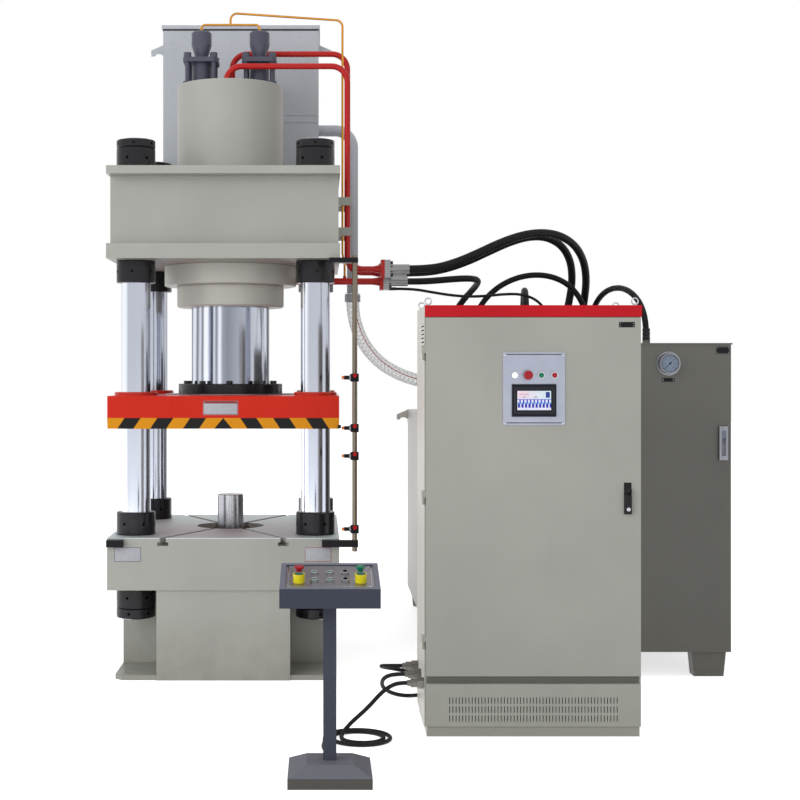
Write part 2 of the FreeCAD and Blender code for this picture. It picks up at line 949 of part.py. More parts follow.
def upper_crosshead():
    """Two thick plates with the walls, the four column tubes and the centre tube between them."""
    half_x = dim.crosshead_width / 2
    half_y = dim.crosshead_depth / 2
    body_x = dim.crosshead_body_width / 2
    body_y = dim.crosshead_body_depth / 2
    wall = dim.crosshead_wall
    whole = (crosshead_bottom, crosshead_top)
    body_z = (crosshead_bottom + dim.lower_plate, crosshead_top - dim.upper_plate)
    barrel_hole = dim.barrel_diameter + 2 * dim.running_fit
    holes = [rod("Z", (0, 0), whole, barrel_hole), *column_bores(whole, column_hole)]
    inner = block((wall - body_x, body_x - wall), (wall - body_y, body_y - wall), body_z)
    walls = cut(block((-body_x, body_x), (-body_y, body_y), body_z), inner)
    welded_walls = cut(
        fuse(walls, *column_bores(body_z, dim.column_tube)),
        *column_bores(body_z, column_hole),
    )
    plates = [
        cut(block((-half_x, half_x), (-half_y, half_y), span), *holes)
        for span in ((crosshead_bottom, body_z[0]), (body_z[1], crosshead_top))
    ]
    centre_tube = cut(
        rod("Z", (0, 0), body_z, dim.centre_tube),
        rod("Z", (0, 0), body_z, barrel_hole),
    )
    sub_part("upper_crosshead", group(*plates, welded_walls, centre_tube))


# ---------------------------------------------------------------- main cylinder

def cylinder_barrel():
    bore = dim.barrel_bore / 2
    outside = dim.barrel_diameter / 2
    chamfer = dim.edge_chamfer
    outline = [
        (bore, barrel_bottom),
        (outside, barrel_bottom),
        (outside, barrel_top - chamfer),
        (outside - chamfer, barrel_top),
        (0, barrel_top),
        (0, barrel_top - dim.head_thickness),
        (bore, barrel_top - dim.head_thickness),
    ]
    head = (barrel_top - dim.head_thickness, barrel_top)
    ports = [rod("Z", (side * dim.valve_spacing / 2, 0), head, dim.valve_port) for side in (-1, 1)]
    sub_part("cylinder_barrel", cut(turned(outline), *ports))


def cylinder_ring_nut():
    low = crosshead_bottom - dim.ring_height
    bore = dim.barrel_diameter / 2 + dim.running_fit
    outside = dim.ring_diameter / 2
    chamfer = dim.edge_chamfer
    outline = [
        (bore, low),
        (outside - chamfer, low),
        (outside, low + chamfer),
        (outside, crosshead_bottom - chamfer),
        (outside - chamfer, crosshead_bottom),
        (bore, crosshead_bottom),
    ]
    port_hole = dim.retract_pipe + 2 * dim.running_fit
    port = rod("X", (dim.retract_y, dim.retract_z), (outside - 2 * dim.base_wall / 3, outside), port_hole)
    sub_part("cylinder_ring_nut", cut(turned(outline), port))


def cylinder_gland():
    bore = dim.ram_diameter / 2 + dim.running_fit
    outside = dim.gland_diameter / 2
    low = barrel_bottom - dim.gland_height
    chamfer = dim.gland_chamfer
    outline = [
        (bore, low),
        (outside - chamfer, low),
        (outside, low + chamfer),
        (outside, barrel_bottom),
        (dim.barrel_bore / 2 - dim.running_fit, barrel_bottom),
        (dim.barrel_bore / 2 - dim.running_fit, barrel_bottom + dim.spigot_height),
        (bore, barrel_bottom + dim.spigot_height),
    ]
    sub_part("cylinder_gland", turned(outline))


def ram():
    radius = dim.ram_diameter / 2
    groove = dim.clamp_groove_diameter / 2
    groove_low = pad_top + dim.clamp_groove_level
    groove_high = groove_low + dim.clamp_groove_height
    top = pad_top + dim.ram_length
    piston = dim.barrel_bore / 2 - dim.running_fit
    outline = [
        (0, pad_top),
        (radius, pad_top),
        (radius, groove_low),
        (groove, groove_low),
        (groove, groove_high),
        (radius, groove_high),
        (radius, top - dim.piston_height),
        (piston, top - dim.piston_height),
        (piston, top),
        (0, top),
    ]
    sub_part("ram", turned(outline))


def clamp_bolt_places():
    count = int(float(dim.clamp_bolt_count))
    for i in range(count):
        turn = math.radians(float(dim.clamp_bolt_start) + 360 / count * i)
        yield dim.clamp_bolt_circle / 2 * math.cos(turn), dim.clamp_bolt_circle / 2 * math.sin(turn)


def ram_clamp():
    """Split ring round the ram's foot, its lip in the ram's groove, and its bolts."""
    bore = dim.ram_diameter / 2 + dim.running_fit
    lip = dim.clamp_groove_diameter / 2 + dim.running_fit
    outside = dim.clamp_diameter / 2
    lip_low = pad_top + dim.clamp_groove_level
    lip_high = lip_low + dim.clamp_groove_height
    top = pad_top + dim.clamp_height
    chamfer = dim.edge_chamfer
    outline = [
        (bore, pad_top),
        (outside, pad_top),
        (outside, top - chamfer),
        (outside - chamfer, top),
        (bore, top),
        (bore, lip_high),
        (lip, lip_high),
        (lip, lip_low),
        (bore, lip_low),
    ]
    split = block((-outside, outside), (-dim.clamp_split / 2, dim.clamp_split / 2), (pad_top, top))
    bolt_low = slide_top - dim.clamp_bolt_depth
    head_top = top + dim.clamp_bolt_head_height
    hole = dim.clamp_bolt_diameter + 2 * dim.running_fit
    holes = []
    bolts = []
    for place in clamp_bolt_places():
        holes.append(rod("Z", place, (pad_top, top), hole))
        shank = rod("Z", place, (bolt_low, head_top), dim.clamp_bolt_diameter)
        bolts.append(fuse(shank, hexagon("Z", place, (top, head_top), dim.clamp_bolt_head)))
    halves = cut(turned(outline), split, *holes)
    sub_part("ram_clamp", group(halves, *bolts))


# ---------------------------------------------------------------- slide

def slide_platen():
    """Forged slab, pocketed for the four bushes and the clamp bolts, with a raised ram seat."""
    half_x = dim.slide_width / 2
    half_y = dim.slide_depth / 2
    body = doc.addObject("PartDesign::Body", "SlideSlab")
    slab = body.newObject("PartDesign::Pad", "Slab")
    slab.Profile = draw_outline(
        body, "XY_Plane", [(-half_x, -half_y), (half_x, -half_y), (half_x, half_y), (-half_x, half_y)]
    )
    bind(slab, "Length", dim.slide_thickness)
    seat(body, 0, 0, slide_bottom)
    striker_low = slide_bottom + dim.striker_level
    striker = block(
        (half_x - dim.striker_height / 2, half_x + dim.striker_reach),
        (dim.bar_y - dim.switch_tip / 2, -half_y + dim.striker_height),
        (striker_low, striker_low + dim.striker_height),
    )
    solid = fuse(body, rod("Z", (0, 0), (slide_bottom, pad_top), dim.pad_diameter), striker)
    bush_hole = dim.bush_diameter + 2 * dim.running_fit
    bolt_hole = dim.clamp_bolt_diameter + 2 * dim.running_fit
    bolt_span = (slide_top - dim.clamp_bolt_depth, pad_top)
    bolt_holes = [rod("Z", place, bolt_span, bolt_hole) for place in clamp_bolt_places()]
    bushes = column_bores((slide_bottom, slide_top), bush_hole)
    sub_part("slide_platen", cut(solid, *bushes, *bolt_holes))


def guide_bushes():
    bore = column_hole / 2
    outside = dim.bush_diameter / 2
    flange = dim.bush_flange / 2
    top = slide_top + dim.bush_flange_height
    chamfer = dim.edge_chamfer
    outline = [
        (bore, slide_bottom),
        (outside, slide_bottom),
        (outside, slide_top),
        (flange, slide_top),
        (flange, top - chamfer),
        (flange - chamfer, top),
        (bore, top),
    ]
    sub_part("guide_bushes", group(*at_corners(turned(outline, *column_centre))))


# ---------------------------------------------------------------- ejector under the table

def ejector():
    flange_low = dim.base_height - dim.ejector_flange_thickness
    barrel_low = flange_low - dim.ejector_length
    rod_hole = dim.ejector_diameter + 2 * dim.running_fit
    housing = fuse(
        rod("Z", (0, 0), (flange_low, dim.base_height), dim.ejector_flange),
        rod("Z", (0, 0), (barrel_low, flange_low), dim.ejector_barrel),
    )
    bore = rod("Z", (0, 0), (barrel_low + dim.ejector_floor, flange_low), dim.ejector_bore)
    throat = rod("Z", (0, 0), (flange_low, dim.base_height), rod_hole)
    sub_part("ejector_cylinder", cut(housing, bore, throat))
    radius = dim.ejector_diameter / 2
    piston = dim.ejector_bore / 2 - dim.running_fit
    top = table_top + dim.ejector_rise
    piston_top = flange_low - dim.ejector_top_gap
    piston_low = piston_top - dim.ejector_piston_height
    groove = dim.ejector_groove
    groove_low = top - dim.ejector_groove_level
    outline = [
        (0, piston_low),
        (piston, piston_low),
        (piston, piston_top),
        (radius, piston_top),
        (radius, groove_low),
        (radius - groove / 2, groove_low),
        (radius - groove / 2, groove_low + groove),
        (radius, groove_low + groove),
        (radius, top - groove),
        (radius - groove, top),
        (0, top),
    ]
    tapped_hole = rod("Z", (0, 0), (top - dim.valve_stud, top), dim.valve_stud)
    sub_part("ejector_rod", cut(turned(outline), tapped_hole))


# ---------------------------------------------------------------- prefill valves and overhead tank

def chamfered_square(x, half, corner):
    return [
        (x - half, corner - half),
        (x - half + corner, -half),
        (x + half - corner, -half),
        (x + half, corner - half),
        (x + half, half - corner),
        (x + half - corner, half),
        (x - half + corner, half),
        (x - half, half - corner),
    ]


def prefill_valve(x):
    flange = chamfered_square(x, dim.valve_flange / 2, dim.valve_flange_chamfer)
    body_low = barrel_top + dim.valve_flange_thickness
    body_high = body_low + dim.valve_body_height
    flange_top = body_high + dim.valve_flange_thickness
    neck = dim.canister_neck / 2
    wide = dim.canister_diameter / 2
    neck_top = flange_top + dim.canister_neck_height
    top = flange_top + dim.canister_height
    rounding = dim.canister_neck_height / 2
    canister = [
        (0, flange_top),
        (neck, flange_top),
        (neck, neck_top),
        (wide, flange_top + dim.canister_taper_top),
        (wide, top - rounding),
        (wide - rounding, top),
        (0, top),
    ]
    pitch = dim.valve_stud_pitch / 2
    fasteners = []
    for along in (-1, 1):
        for across in (-1, 1):
            place = (x + along * pitch, across * pitch)
            nut_top = flange_top + dim.valve_nut_height
            fasteners.append(rod("Z", place, (body_low, nut_top), dim.valve_stud))
            fasteners.append(hexagon("Z", place, (flange_top, nut_top), dim.valve_nut))
    boss_x = (x - dim.suction_pipe / 2, x + dim.suction_pipe / 2)
    boss = block(boss_x, (0, pitch), (body_low, body_high))
    return fuse(
        padded("Z", flange, (barrel_top, body_low)),
        rod("Z", (x, 0), (body_low, body_high), dim.valve_body),
        boss,
        padded("Z", flange, (body_high, flange_top)),
        turned(canister, x, 0, 0),
        *fasteners,
    )


def prefill_valves():
    sub_part("prefill_valves", group(*[prefill_valve(side * dim.valve_spacing / 2) for side in (-1, 1)]))


def hook(wall_x, side, y, top):
    """Lifting ear on a tank's side, with its nose turned down."""
    reach = side * dim.hook_reach
    drop = dim.hook_height
    outline = [
        (wall_x - reach / 20, top),
        (wall_x + reach, top - drop / 2),
        (wall_x + reach, top - drop),
        (wall_x + reach * 0.75, top - drop),
        (wall_x + reach * 0.6, top - drop * 0.8),
        (wall_x + reach * 0.3, top - drop * 0.8),
        (wall_x - reach / 20, top - drop),
    ]
    return padded("Y", outline, (y, y + dim.hook_thickness))


tank_left = dim.tank_centre_x - dim.tank_width / 2
tank_right = dim.tank_centre_x + dim.tank_width / 2
tank_back = dim.tank_front + dim.tank_depth
tank_bottom = crosshead_top + dim.rail_height
tank_top = tank_bottom + dim.tank_height


def overhead_tank():
    wall = dim.tank_wall
    shell = cut(
        block((tank_left, tank_right), (dim.tank_front, tank_back), (tank_bottom, tank_top)),
        block(
            (tank_left + wall, tank_right - wall),
            (dim.tank_front + wall, tank_back - wall),
            (tank_bottom + wall, tank_top),
        ),
    )
    swage_x = (tank_right - dim.swage_width - dim.swage_height / 2, tank_right - dim.swage_height / 2)
    swages = []
    for i in range(2):
        low = tank_bottom + dim.swage_level + i * (dim.swage_height + dim.swage_gap)
        depth = (dim.tank_front, dim.tank_front + dim.swage_depth)
        swages.append(block(swage_x, depth, (low, low + dim.swage_height)))
    pieces = []
    for side in (-1, 1):
        rail_x = dim.tank_centre_x + side * dim.rail_pitch / 2
        rail = (rail_x - dim.rail_width / 2, rail_x + dim.rail_width / 2)
        pieces.append(block(rail, (dim.rail_front, tank_back), (crosshead_top, tank_bottom)))
        wall_x = tank_right if side > 0 else tank_left
        hook_y = dim.tank_front + dim.hook_height * 0.75
        pieces.append(hook(wall_x, side, hook_y, tank_top - dim.hook_height))
    pipe_z = barrel_top + dim.valve_flange_thickness + dim.valve_body_height / 2
    bores = []
    for side in (-1, 1):
        place = (side * dim.valve_spacing / 2, pipe_z)
        span = (dim.valve_stud_pitch / 2, dim.tank_front + wall)
        pieces.append(rod("Y", place, span, dim.suction_pipe))
        bores.append(rod("Y", place, span, dim.suction_bore))
    sub_part("overhead_tank", cut(fuse(cut(shell, *swages), *pieces), *bores))


def overhead_tank_lid():
    over = dim.lid_overhang
    gasket = (tank_top, tank_top + dim.gasket_thickness)
    lid_low = gasket[1]
    seal = block((tank_left, tank_right), (dim.tank_front, tank_back), gasket)
    lid = block(
        (tank_left - over, tank_right + over),
        (dim.tank_front - over, tank_back + over),
        (lid_low, lid_low + dim.lid_thickness),
    )
    sub_part("overhead_tank_lid", group(seal, lid))


# ---------------------------------------------------------------- pipework

def return_pipe():
    """Overflow pipe from the overhead tank's side, with the clamp on the clear hose's end."""
    y = dim.return_pipe_y
    points = [
        (tank_right, y, dim.return_level),
        (dim.return_pipe_x, y, dim.return_level),
        (dim.return_pipe_x, y, dim.return_end),
    ]
    pipe = bent_tube(points, dim.return_pipe, 1.5 * float(dim.return_pipe))
    clamp_bore = dim.clear_hose + 2 * dim.running_fit
    clamp_top = dim.return_end - dim.hose_clamp_wall
    clamp_z = (clamp_top - dim.hose_clamp_height, clamp_top)
    place = (dim.return_pipe_x, y)
    clamp = cut(
        rod("Z", place, clamp_z, clamp_bore + 2 * dim.hose_clamp_wall),
        rod("Z", place, clamp_z, clamp_bore),
    )
    sub_part("return_pipe", group(pipe, clamp))


def flange_plate(span, y, z):
    half = dim.flange_size / 2
    return block(span, (y - half, y + half), (z - half, z + half))


def weld_end(y, z, diameter):
    """Tapered neck and square flange half at the end of a pressure pipe."""
    flange_low = dim.flange_face_x - dim.flange_red
    neck_low = flange_low - dim.pipe_neck_length
    neck = cone("X", (y, z), (neck_low, flange_low), diameter, dim.pipe_neck)
    return [neck, flange_plate((flange_low, dim.flange_face_x), y, z)]


flange_places = [
    (dim.front_line_y, dim.front_flange_z),
    (dim.rear_line_y, dim.front_flange_z),
    (dim.retract_y, dim.retract_z),
]


def pressure_pipes():
    flange_low = dim.flange_face_x - dim.flange_red
    lines = []
    for start_x, line_x, y, run_level in (
        (-dim.pressure_pipe / 2, dim.front_line_x, dim.front_line_y, dim.front_run_level),
        (0, dim.rear_line_x, dim.rear_line_y, dim.rear_run_level),
    ):
        route = [
            (start_x, y, barrel_top),
            (start_x, y, run_level),
            (line_x, y, run_level),
            (line_x, y, dim.front_flange_z),
            (flange_low, y, dim.front_flange_z),
        ]
        tube = bent_tube(route, dim.pressure_pipe, float(dim.pipe_bend))
        lines.append(fuse(tube, *weld_end(y, dim.front_flange_z, dim.pressure_pipe)))
    seat_x = dim.ring_diameter / 2 - dim.base_wall / 2
    retract = rod("X", (dim.retract_y, dim.retract_z), (seat_x, flange_low), dim.retract_pipe)
    boss_z = (dim.retract_z, dim.retract_z + dim.retract_pipe / 2 + dim.pilot_fitting_height)
    boss = rod("Z", (dim.pilot_line_x + dim.pilot_pipe, dim.retract_y), boss_z, dim.pilot_fitting)
    retract_line = fuse(retract, boss, *weld_end(dim.retract_y, dim.retract_z, dim.retract_pipe))
    sub_part("pressure_pipes", group(*lines, retract_line))


def pilot_pipe():
    """Copper line that joins both prefill valves and runs down to the retract line."""
    canister_top = barrel_top + 2 * dim.valve_flange_thickness + dim.valve_body_height + dim.canister_height
    fitting_top = canister_top + dim.pilot_fitting_height
    valve_x = dim.valve_spacing / 2
    small = 3 * float(dim.pilot_pipe)
    bridge = [
        (-valve_x, 0, fitting_top),
        (-valve_x, 0, dim.pilot_bridge_level),
        (valve_x, 0, dim.pilot_bridge_level),
        (valve_x, 0, fitting_top),
    ]
    foot_x = dim.pilot_line_x + dim.pilot_pipe
    foot_top = dim.retract_z + dim.retract_pipe / 2 + dim.pilot_fitting_height
    down = [
        (0, 0, dim.pilot_bridge_level),
        (0, 0, dim.pilot_run_level),
        (dim.pilot_line_x, dim.pilot_line_y, dim.pilot_run_level - 3 * dim.pilot_pipe),
        (dim.pilot_line_x, dim.pilot_line_y, foot_top + 10 * dim.pilot_pipe),
        (foot_x, dim.retract_y, foot_top + 5 * dim.pilot_pipe),
        (foot_x, dim.retract_y, foot_top),
    ]
    fittings = [
        rod("Z", (side * valve_x, 0), (canister_top, fitting_top), dim.pilot_fitting) for side in (-1, 1)
    ]
    bridge_bend = float(dim.pilot_bridge_level - fitting_top) * 0.8
    tubes = [bent_tube(bridge, dim.pilot_pipe, bridge_bend), bent_tube(down, dim.pilot_pipe, small)]
    sub_part("pilot_pipe", fuse(*tubes, *fittings))


def pipe_brackets():
    """Two plates on the crosshead's side with clamp blocks round the three descending pipes."""
    side = dim.crosshead_body_width / 2
    face = side + dim.bracket_thickness
    block_half = dim.clamp_block / 2
    brackets = []
    for level in (dim.bracket_low_level, dim.bracket_high_level):
        z = (level - dim.bracket_height / 2, level + dim.bracket_height / 2)
        plate = block((side, face), (dim.front_line_y - block_half, dim.rear_line_y + block_half), z)
        blocks = [
            block((face, line_x + block_half), (line_y - block_half, line_y + block_half), z)
            for line_x, line_y in (
                (dim.front_line_x, dim.front_line_y),
                (dim.rear_line_x, dim.rear_line_y),
            )
        ]
        bores = [
            rod("Z", (x, y), z, diameter + 2 * dim.running_fit)
            for x, y, diameter in (
                (dim.front_line_x, dim.front_line_y, dim.pressure_pipe),
                (dim.rear_line_x, dim.rear_line_y, dim.pressure_pipe),
                (dim.pilot_line_x, dim.pilot_line_y, dim.pilot_pipe),
            )
        ]
        brackets.append(cut(fuse(plate, *blocks), *bores))
    sub_part("pipe_brackets", group(*brackets))


def hose_fittings():
    """Steel flange halves with their bolts and the ferrules crimped on the hoses."""
    face = dim.flange_face_x
    back = face + dim.flange_steel
    pitch = dim.flange_bolt_pitch / 2
    head_x = (back, back + dim.flange_bolt_head)
    fittings = []
    for y, z in flange_places:
        heads = [
            hexagon("X", (y + a * pitch, z + b * pitch), head_x, dim.flange_bolt)
            for a in (-1, 1)
            for b in (-1, 1)
        ]
        ferrule = rod("X", (y, z), (back, back + dim.ferrule_length), dim.ferrule_diameter)
        fittings.append(fuse(flange_plate((face, back), y, z), ferrule, *heads))
    union_x = (back, back + dim.port_height)
    corner_y = dim.retract_y
    union_z = dim.retract_z - dim.flange_size / 2 + dim.pilot_hose / 2
    fittings[2] = fuse(fittings[2], rod("X", (corner_y, union_z), union_x, dim.pilot_fitting))
    sub_part("hose_fittings", group(*fittings))


# ---------------------------------------------------------------- switch bar

def switch_bar():
    place = (dim.bar_x, dim.bar_y)
    bar = rod("Z", place, (dim.bar_bottom, dim.bar_bottom + dim.bar_length), dim.bar_diameter)
    arm_y = (table_front - dim.arm_depth, table_front)
    arm_top = table_top - dim.arm_drop
    arm_z = (arm_top - dim.arm_height, arm_top)
    hole = dim.bar_diameter + 2 * dim.running_fit
    low_arm = cut(
        block((dim.arm_start_x, dim.arm_end_x), arm_y, arm_z),
        rod("Z", place, arm_z, hole),
    )
    top_z = (crosshead_bottom - dim.top_arm_height, crosshead_bottom)
    top_arm_x = (dim.arm_start_x + dim.arm_depth, dim.arm_end_x)
    top_arm = cut(
        block(top_arm_x, (arm_y[0], table_front + dim.arm_depth), top_z),
        rod("Z", place, top_z, hole),
    )
    left_edge = -dim.table_width / 2
    spare_x = (left_edge, left_edge + 2.4 * dim.arm_depth)
    spare_arm = block(spare_x, arm_y, (arm_top - dim.arm_depth, arm_top))
    sub_part("switch_bar", group(bar, low_arm, top_arm, spare_arm))


def limit_switch(level):
    half = dim.switch_block / 2
    x = dim.bar_x
    y = dim.bar_y
    body_left = x - half
    housing = block((body_left, x + half), (y - half, y + half), (level - half, level + half))
    barrel = rod("X", (y, level), (dim.switch_barrel_x, body_left), dim.switch_barrel)
    nut = hexagon("X", (y, level), (body_left - dim.switch_barrel / 3, body_left), dim.switch_nut)
    tip = rod("X", (y, level), (dim.switch_tip_x, dim.switch_barrel_x), dim.switch_tip)
    knob = rod("Y", (x, level + half / 2), (y - half - dim.switch_knob_depth, y - half), dim.switch_knob)
    hole = rod("Z", (x, y), (level - half, level + half), dim.bar_diameter + 2 * dim.running_fit)
    return cut(fuse(housing, barrel, nut, tip, knob), hole)


def limit_switches():
    levels = (dim.switch_level_top, dim.switch_level_upper, dim.switch_level_middle, dim.switch_level_low)
    sub_part("limit_switches", group(*[limit_switch(level) for level in levels]))


# ---------------------------------------------------------------- pedestal

console_front = dim.pedestal_y - dim.console_depth / 2
console_back = dim.pedestal_y + dim.console_depth / 2
console_top = dim.console_bottom + dim.console_front_height
slope = math.atan2(
    float(dim.console_back_height - dim.console_front_height), float(dim.console_depth)
)
tilt = Rotation(Vector(1, 0, 0), math.degrees(slope))


def on_panel(u, v, n):
    """Place on the sloping console: u to the right, v up the slope, n out of the face."""
    x = dim.pedestal_x + u
    y = console_front + v * math.cos(slope) - n * math.sin(slope)
    z = console_top + v * math.sin(slope) + n * math.cos(slope)
    return x, y, z


def panel_block(u, v, n):
    box = doc.addObject("Part::Box", "PanelBlock")
    for prop, (low, high) in zip(("Length", "Width", "Height"), (u, v, n)):
        bind(box, prop, as_size(high) - low)
    return seat(box, *on_panel(as_size(u[0]), as_size(v[0]), as_size(n[0])), tilt)


def panel_rod(u, v, n, diameter):
    cylinder = doc.addObject("Part::Cylinder", "PanelRod")
    bind(cylinder, "Radius", as_size(diameter) / 2)
    bind(cylinder, "Height", as_size(n[1]) - n[0])
    return seat(cylinder, *on_panel(as_size(u), v, as_size(n[0])), tilt)


def panel_turned(u, v, outline):
    return turned(outline, *on_panel(as_size(u), v, as_size(0)), tilt)


def pedestal_stand():
    half = dim.pedestal_foot / 2
    x = dim.pedestal_x
    y = dim.pedestal_y
    inset = (dim.pedestal_foot - dim.pedestal_cone_top) / 2
    skirt = block((x - half, x + half), (y - half, y + half), (0, dim.pedestal_skirt))
    wedge = doc.addObject("Part::Wedge", "Frustum")
    for prop, value in (
        ("Xmin", 0),
        ("Ymin", 0),
        ("Zmin", 0),
        ("X2min", inset),
        ("Z2min", inset),
        ("Xmax", dim.pedestal_foot),
        ("Ymax", dim.pedestal_cone_height),
        ("Zmax", dim.pedestal_foot),
        ("X2max", dim.pedestal_foot - inset),
        ("Z2max", dim.pedestal_foot - inset),
    ):
        bind(wedge, prop, value)
    seat(wedge, x - half, y + half, dim.pedestal_skirt, Rotation(Vector(1, 0, 0), 90))
    post = dim.pedestal_post / 2
    pad = dim.pedestal_pad / 2
    pad_z = (dim.console_bottom - dim.pedestal_pad_thickness, dim.console_bottom)
    post_z = (dim.pedestal_skirt + dim.pedestal_cone_height, pad_z[0])
    sub_part("pedestal_stand", fuse(
        skirt,
        wedge,
        block((x - post, x + post), (y - post, y + post), post_z),
        block((x - pad, x + pad), (y - pad, y + pad), pad_z),
    ))


def pedestal_console():
    half = dim.console_width / 2
    wall = dim.console_wall
    bottom = dim.console_bottom
    back_top = bottom + dim.console_back_height
    sink = dim.panel_sink + dim.panel_thickness + wall
    outer = [
        (console_front, bottom),
        (console_back, bottom),
        (console_back, back_top),
        (console_front, console_top),
    ]
    inner = [
        (console_front + wall, bottom + wall),
        (console_back - wall, bottom + wall),
        (console_back - wall, back_top - sink),
        (console_front + wall, console_top - sink),
    ]
    x = dim.pedestal_x
    hollow = padded("X", inner, (x - half + wall, x + half - wall))
    shell = cut(padded("X", outer, (x - half, x + half)), hollow)
    panel_half = dim.panel_width / 2
    v = (dim.panel_start, dim.panel_start + dim.panel_length)
    seat_depth = dim.panel_sink + dim.panel_thickness
    lip = dim.panel_lip
    recess = panel_block((-panel_half, panel_half), v, (-seat_depth, sink))
    opening = panel_block((lip - panel_half, panel_half - lip), (v[0] + lip, v[1] - lip), (-2 * sink, sink))
    sub_part("pedestal_console", cut(shell, recess, opening))


control_columns = [dim.control_pitch * step for step in (-2, -1, 0, 1, 2)]
guarded = ((control_columns[0], dim.control_row_front), (control_columns[4], dim.control_row_front))


def pedestal_panel():
    """Recessed plate with the controls' rings, guards and contact blocks."""
    half = dim.panel_width / 2 - dim.panel_play
    v = (dim.panel_start + dim.panel_play, dim.panel_start + dim.panel_length - dim.panel_play)
    face = -dim.panel_sink
    under = face - dim.panel_thickness
    solids = [panel_block((-half, half), v, (under, face))]
    holes = []
    for u in control_columns:
        for row in (dim.control_row_front, dim.control_row_back):
            block_low = under - dim.control_block_depth
            solids.append(panel_rod(u, row, (block_low, under), dim.control_block))
            solids.append(panel_rod(u, row, (face, dim.control_ring_height + face), dim.control_ring))
            holes.append(panel_rod(u, row, (under, dim.control_ring_height + face), dim.control_hole))
            stem_hole = dim.control_stem + 2 * dim.control_play
            holes.append(panel_rod(u, row, (block_low, under), stem_hole))
    for u, row in guarded:
        solids.append(panel_rod(u, row, (face, dim.guard_height + face), dim.guard_diameter))
        bore = dim.guard_diameter - 2 * dim.guard_wall
        holes.append(panel_rod(u, row, (dim.control_ring_height + face, dim.guard_height + face), bore))
    sub_part("pedestal_panel", cut(fuse(*solids), *holes))


def push_button(name, u, row, profile):
    """Cap from (radius, height) corners over its own stem."""
    stem = dim.control_stem / 2
    low = -dim.panel_sink - dim.panel_thickness - dim.control_block_depth + dim.control_travel
    sub_part(name, panel_turned(u, row, [(0, low), (stem, low), (stem, profile[0][1]), *profile]))


def flush_cap():
    cap = dim.control_cap / 2
    top = dim.control_cap_height
    edge = dim.cap_edge
    return [(cap, 0), (cap, top - edge), (cap - edge, top), (0, top)]


def mushroom_cap(diameter):
    neck = dim.control_cap / 2
    wide = diameter / 2
    lift = dim.mushroom_lift
    top = dim.mushroom_height
    return [
        (neck, 0),
        (neck, lift),
        (wide, top - lift / 2),
        (wide, top - lift / 5),
        (wide * 0.8, top),
        (0, top),
    ]


def palm_cap():
    wide = dim.guard_diameter / 2 - dim.guard_wall - dim.control_play
    low = dim.control_ring_height
    top = dim.palm_height
    return [(wide, low), (wide, top - dim.mushroom_rim), (wide * 0.8, top), (0, top)]


def selector(name, u, row):
    cap = dim.selector_diameter / 2
    stem = dim.control_stem / 2
    low = -dim.panel_sink - dim.panel_thickness - dim.control_block_depth + dim.control_travel
    top = dim.control_cap_height
    knob = panel_turned(u, row, [(0, low), (stem, low), (stem, 0), (cap, 0), (cap, top), (0, top)])
    half = dim.selector_lever / 2
    reach = cap * 0.85
    lever = panel_block((u - half, u + half), (row - reach, row + reach), (top / 2, dim.selector_height))
    sub_part(name, fuse(knob, lever))


def pedestal_controls():
    back = dim.control_row_back
    front = dim.control_row_front
    push_button("button_emergency", control_columns[0], back, mushroom_cap(dim.mushroom_diameter))
    push_button("button_back_left", control_columns[1], back, flush_cap())
    push_button("button_back_middle", control_columns[2], back, flush_cap())
    selector("selector_back", control_columns[3], back)
    push_button("button_mushroom_green", control_columns[4], back, mushroom_cap(dim.start_mushroom_diameter))
    push_button("palm_button_left", control_columns[0], front, palm_cap())
    push_button("button_front_left", control_columns[1], front, flush_cap())
    push_button("button_front_middle", control_columns[2], front, flush_cap())
    selector("selector_front", control_columns[3], front)
    push_button("palm_button_right", control_columns[4], front, palm_cap())


# ---------------------------------------------------------------- electrical cabinet

cabinet_right = dim.cabinet_left + dim.cabinet_width
cabinet_back = dim.cabinet_front + dim.cabinet_depth
frame_front = dim.cabinet_front + dim.door_depth
door_x = (dim.cabinet_left + dim.door_side_gap, cabinet_right - dim.door_side_gap)
hinge_place = (dim.cabinet_left - dim.hinge_offset, dim.cabinet_front + dim.door_depth / 2)
hinge_levels = (dim.hinge_level_low, dim.hinge_level_middle, dim.hinge_level_high)
gland_y = [dim.gland_first_y + i * dim.gland_pitch for i in range(3)]


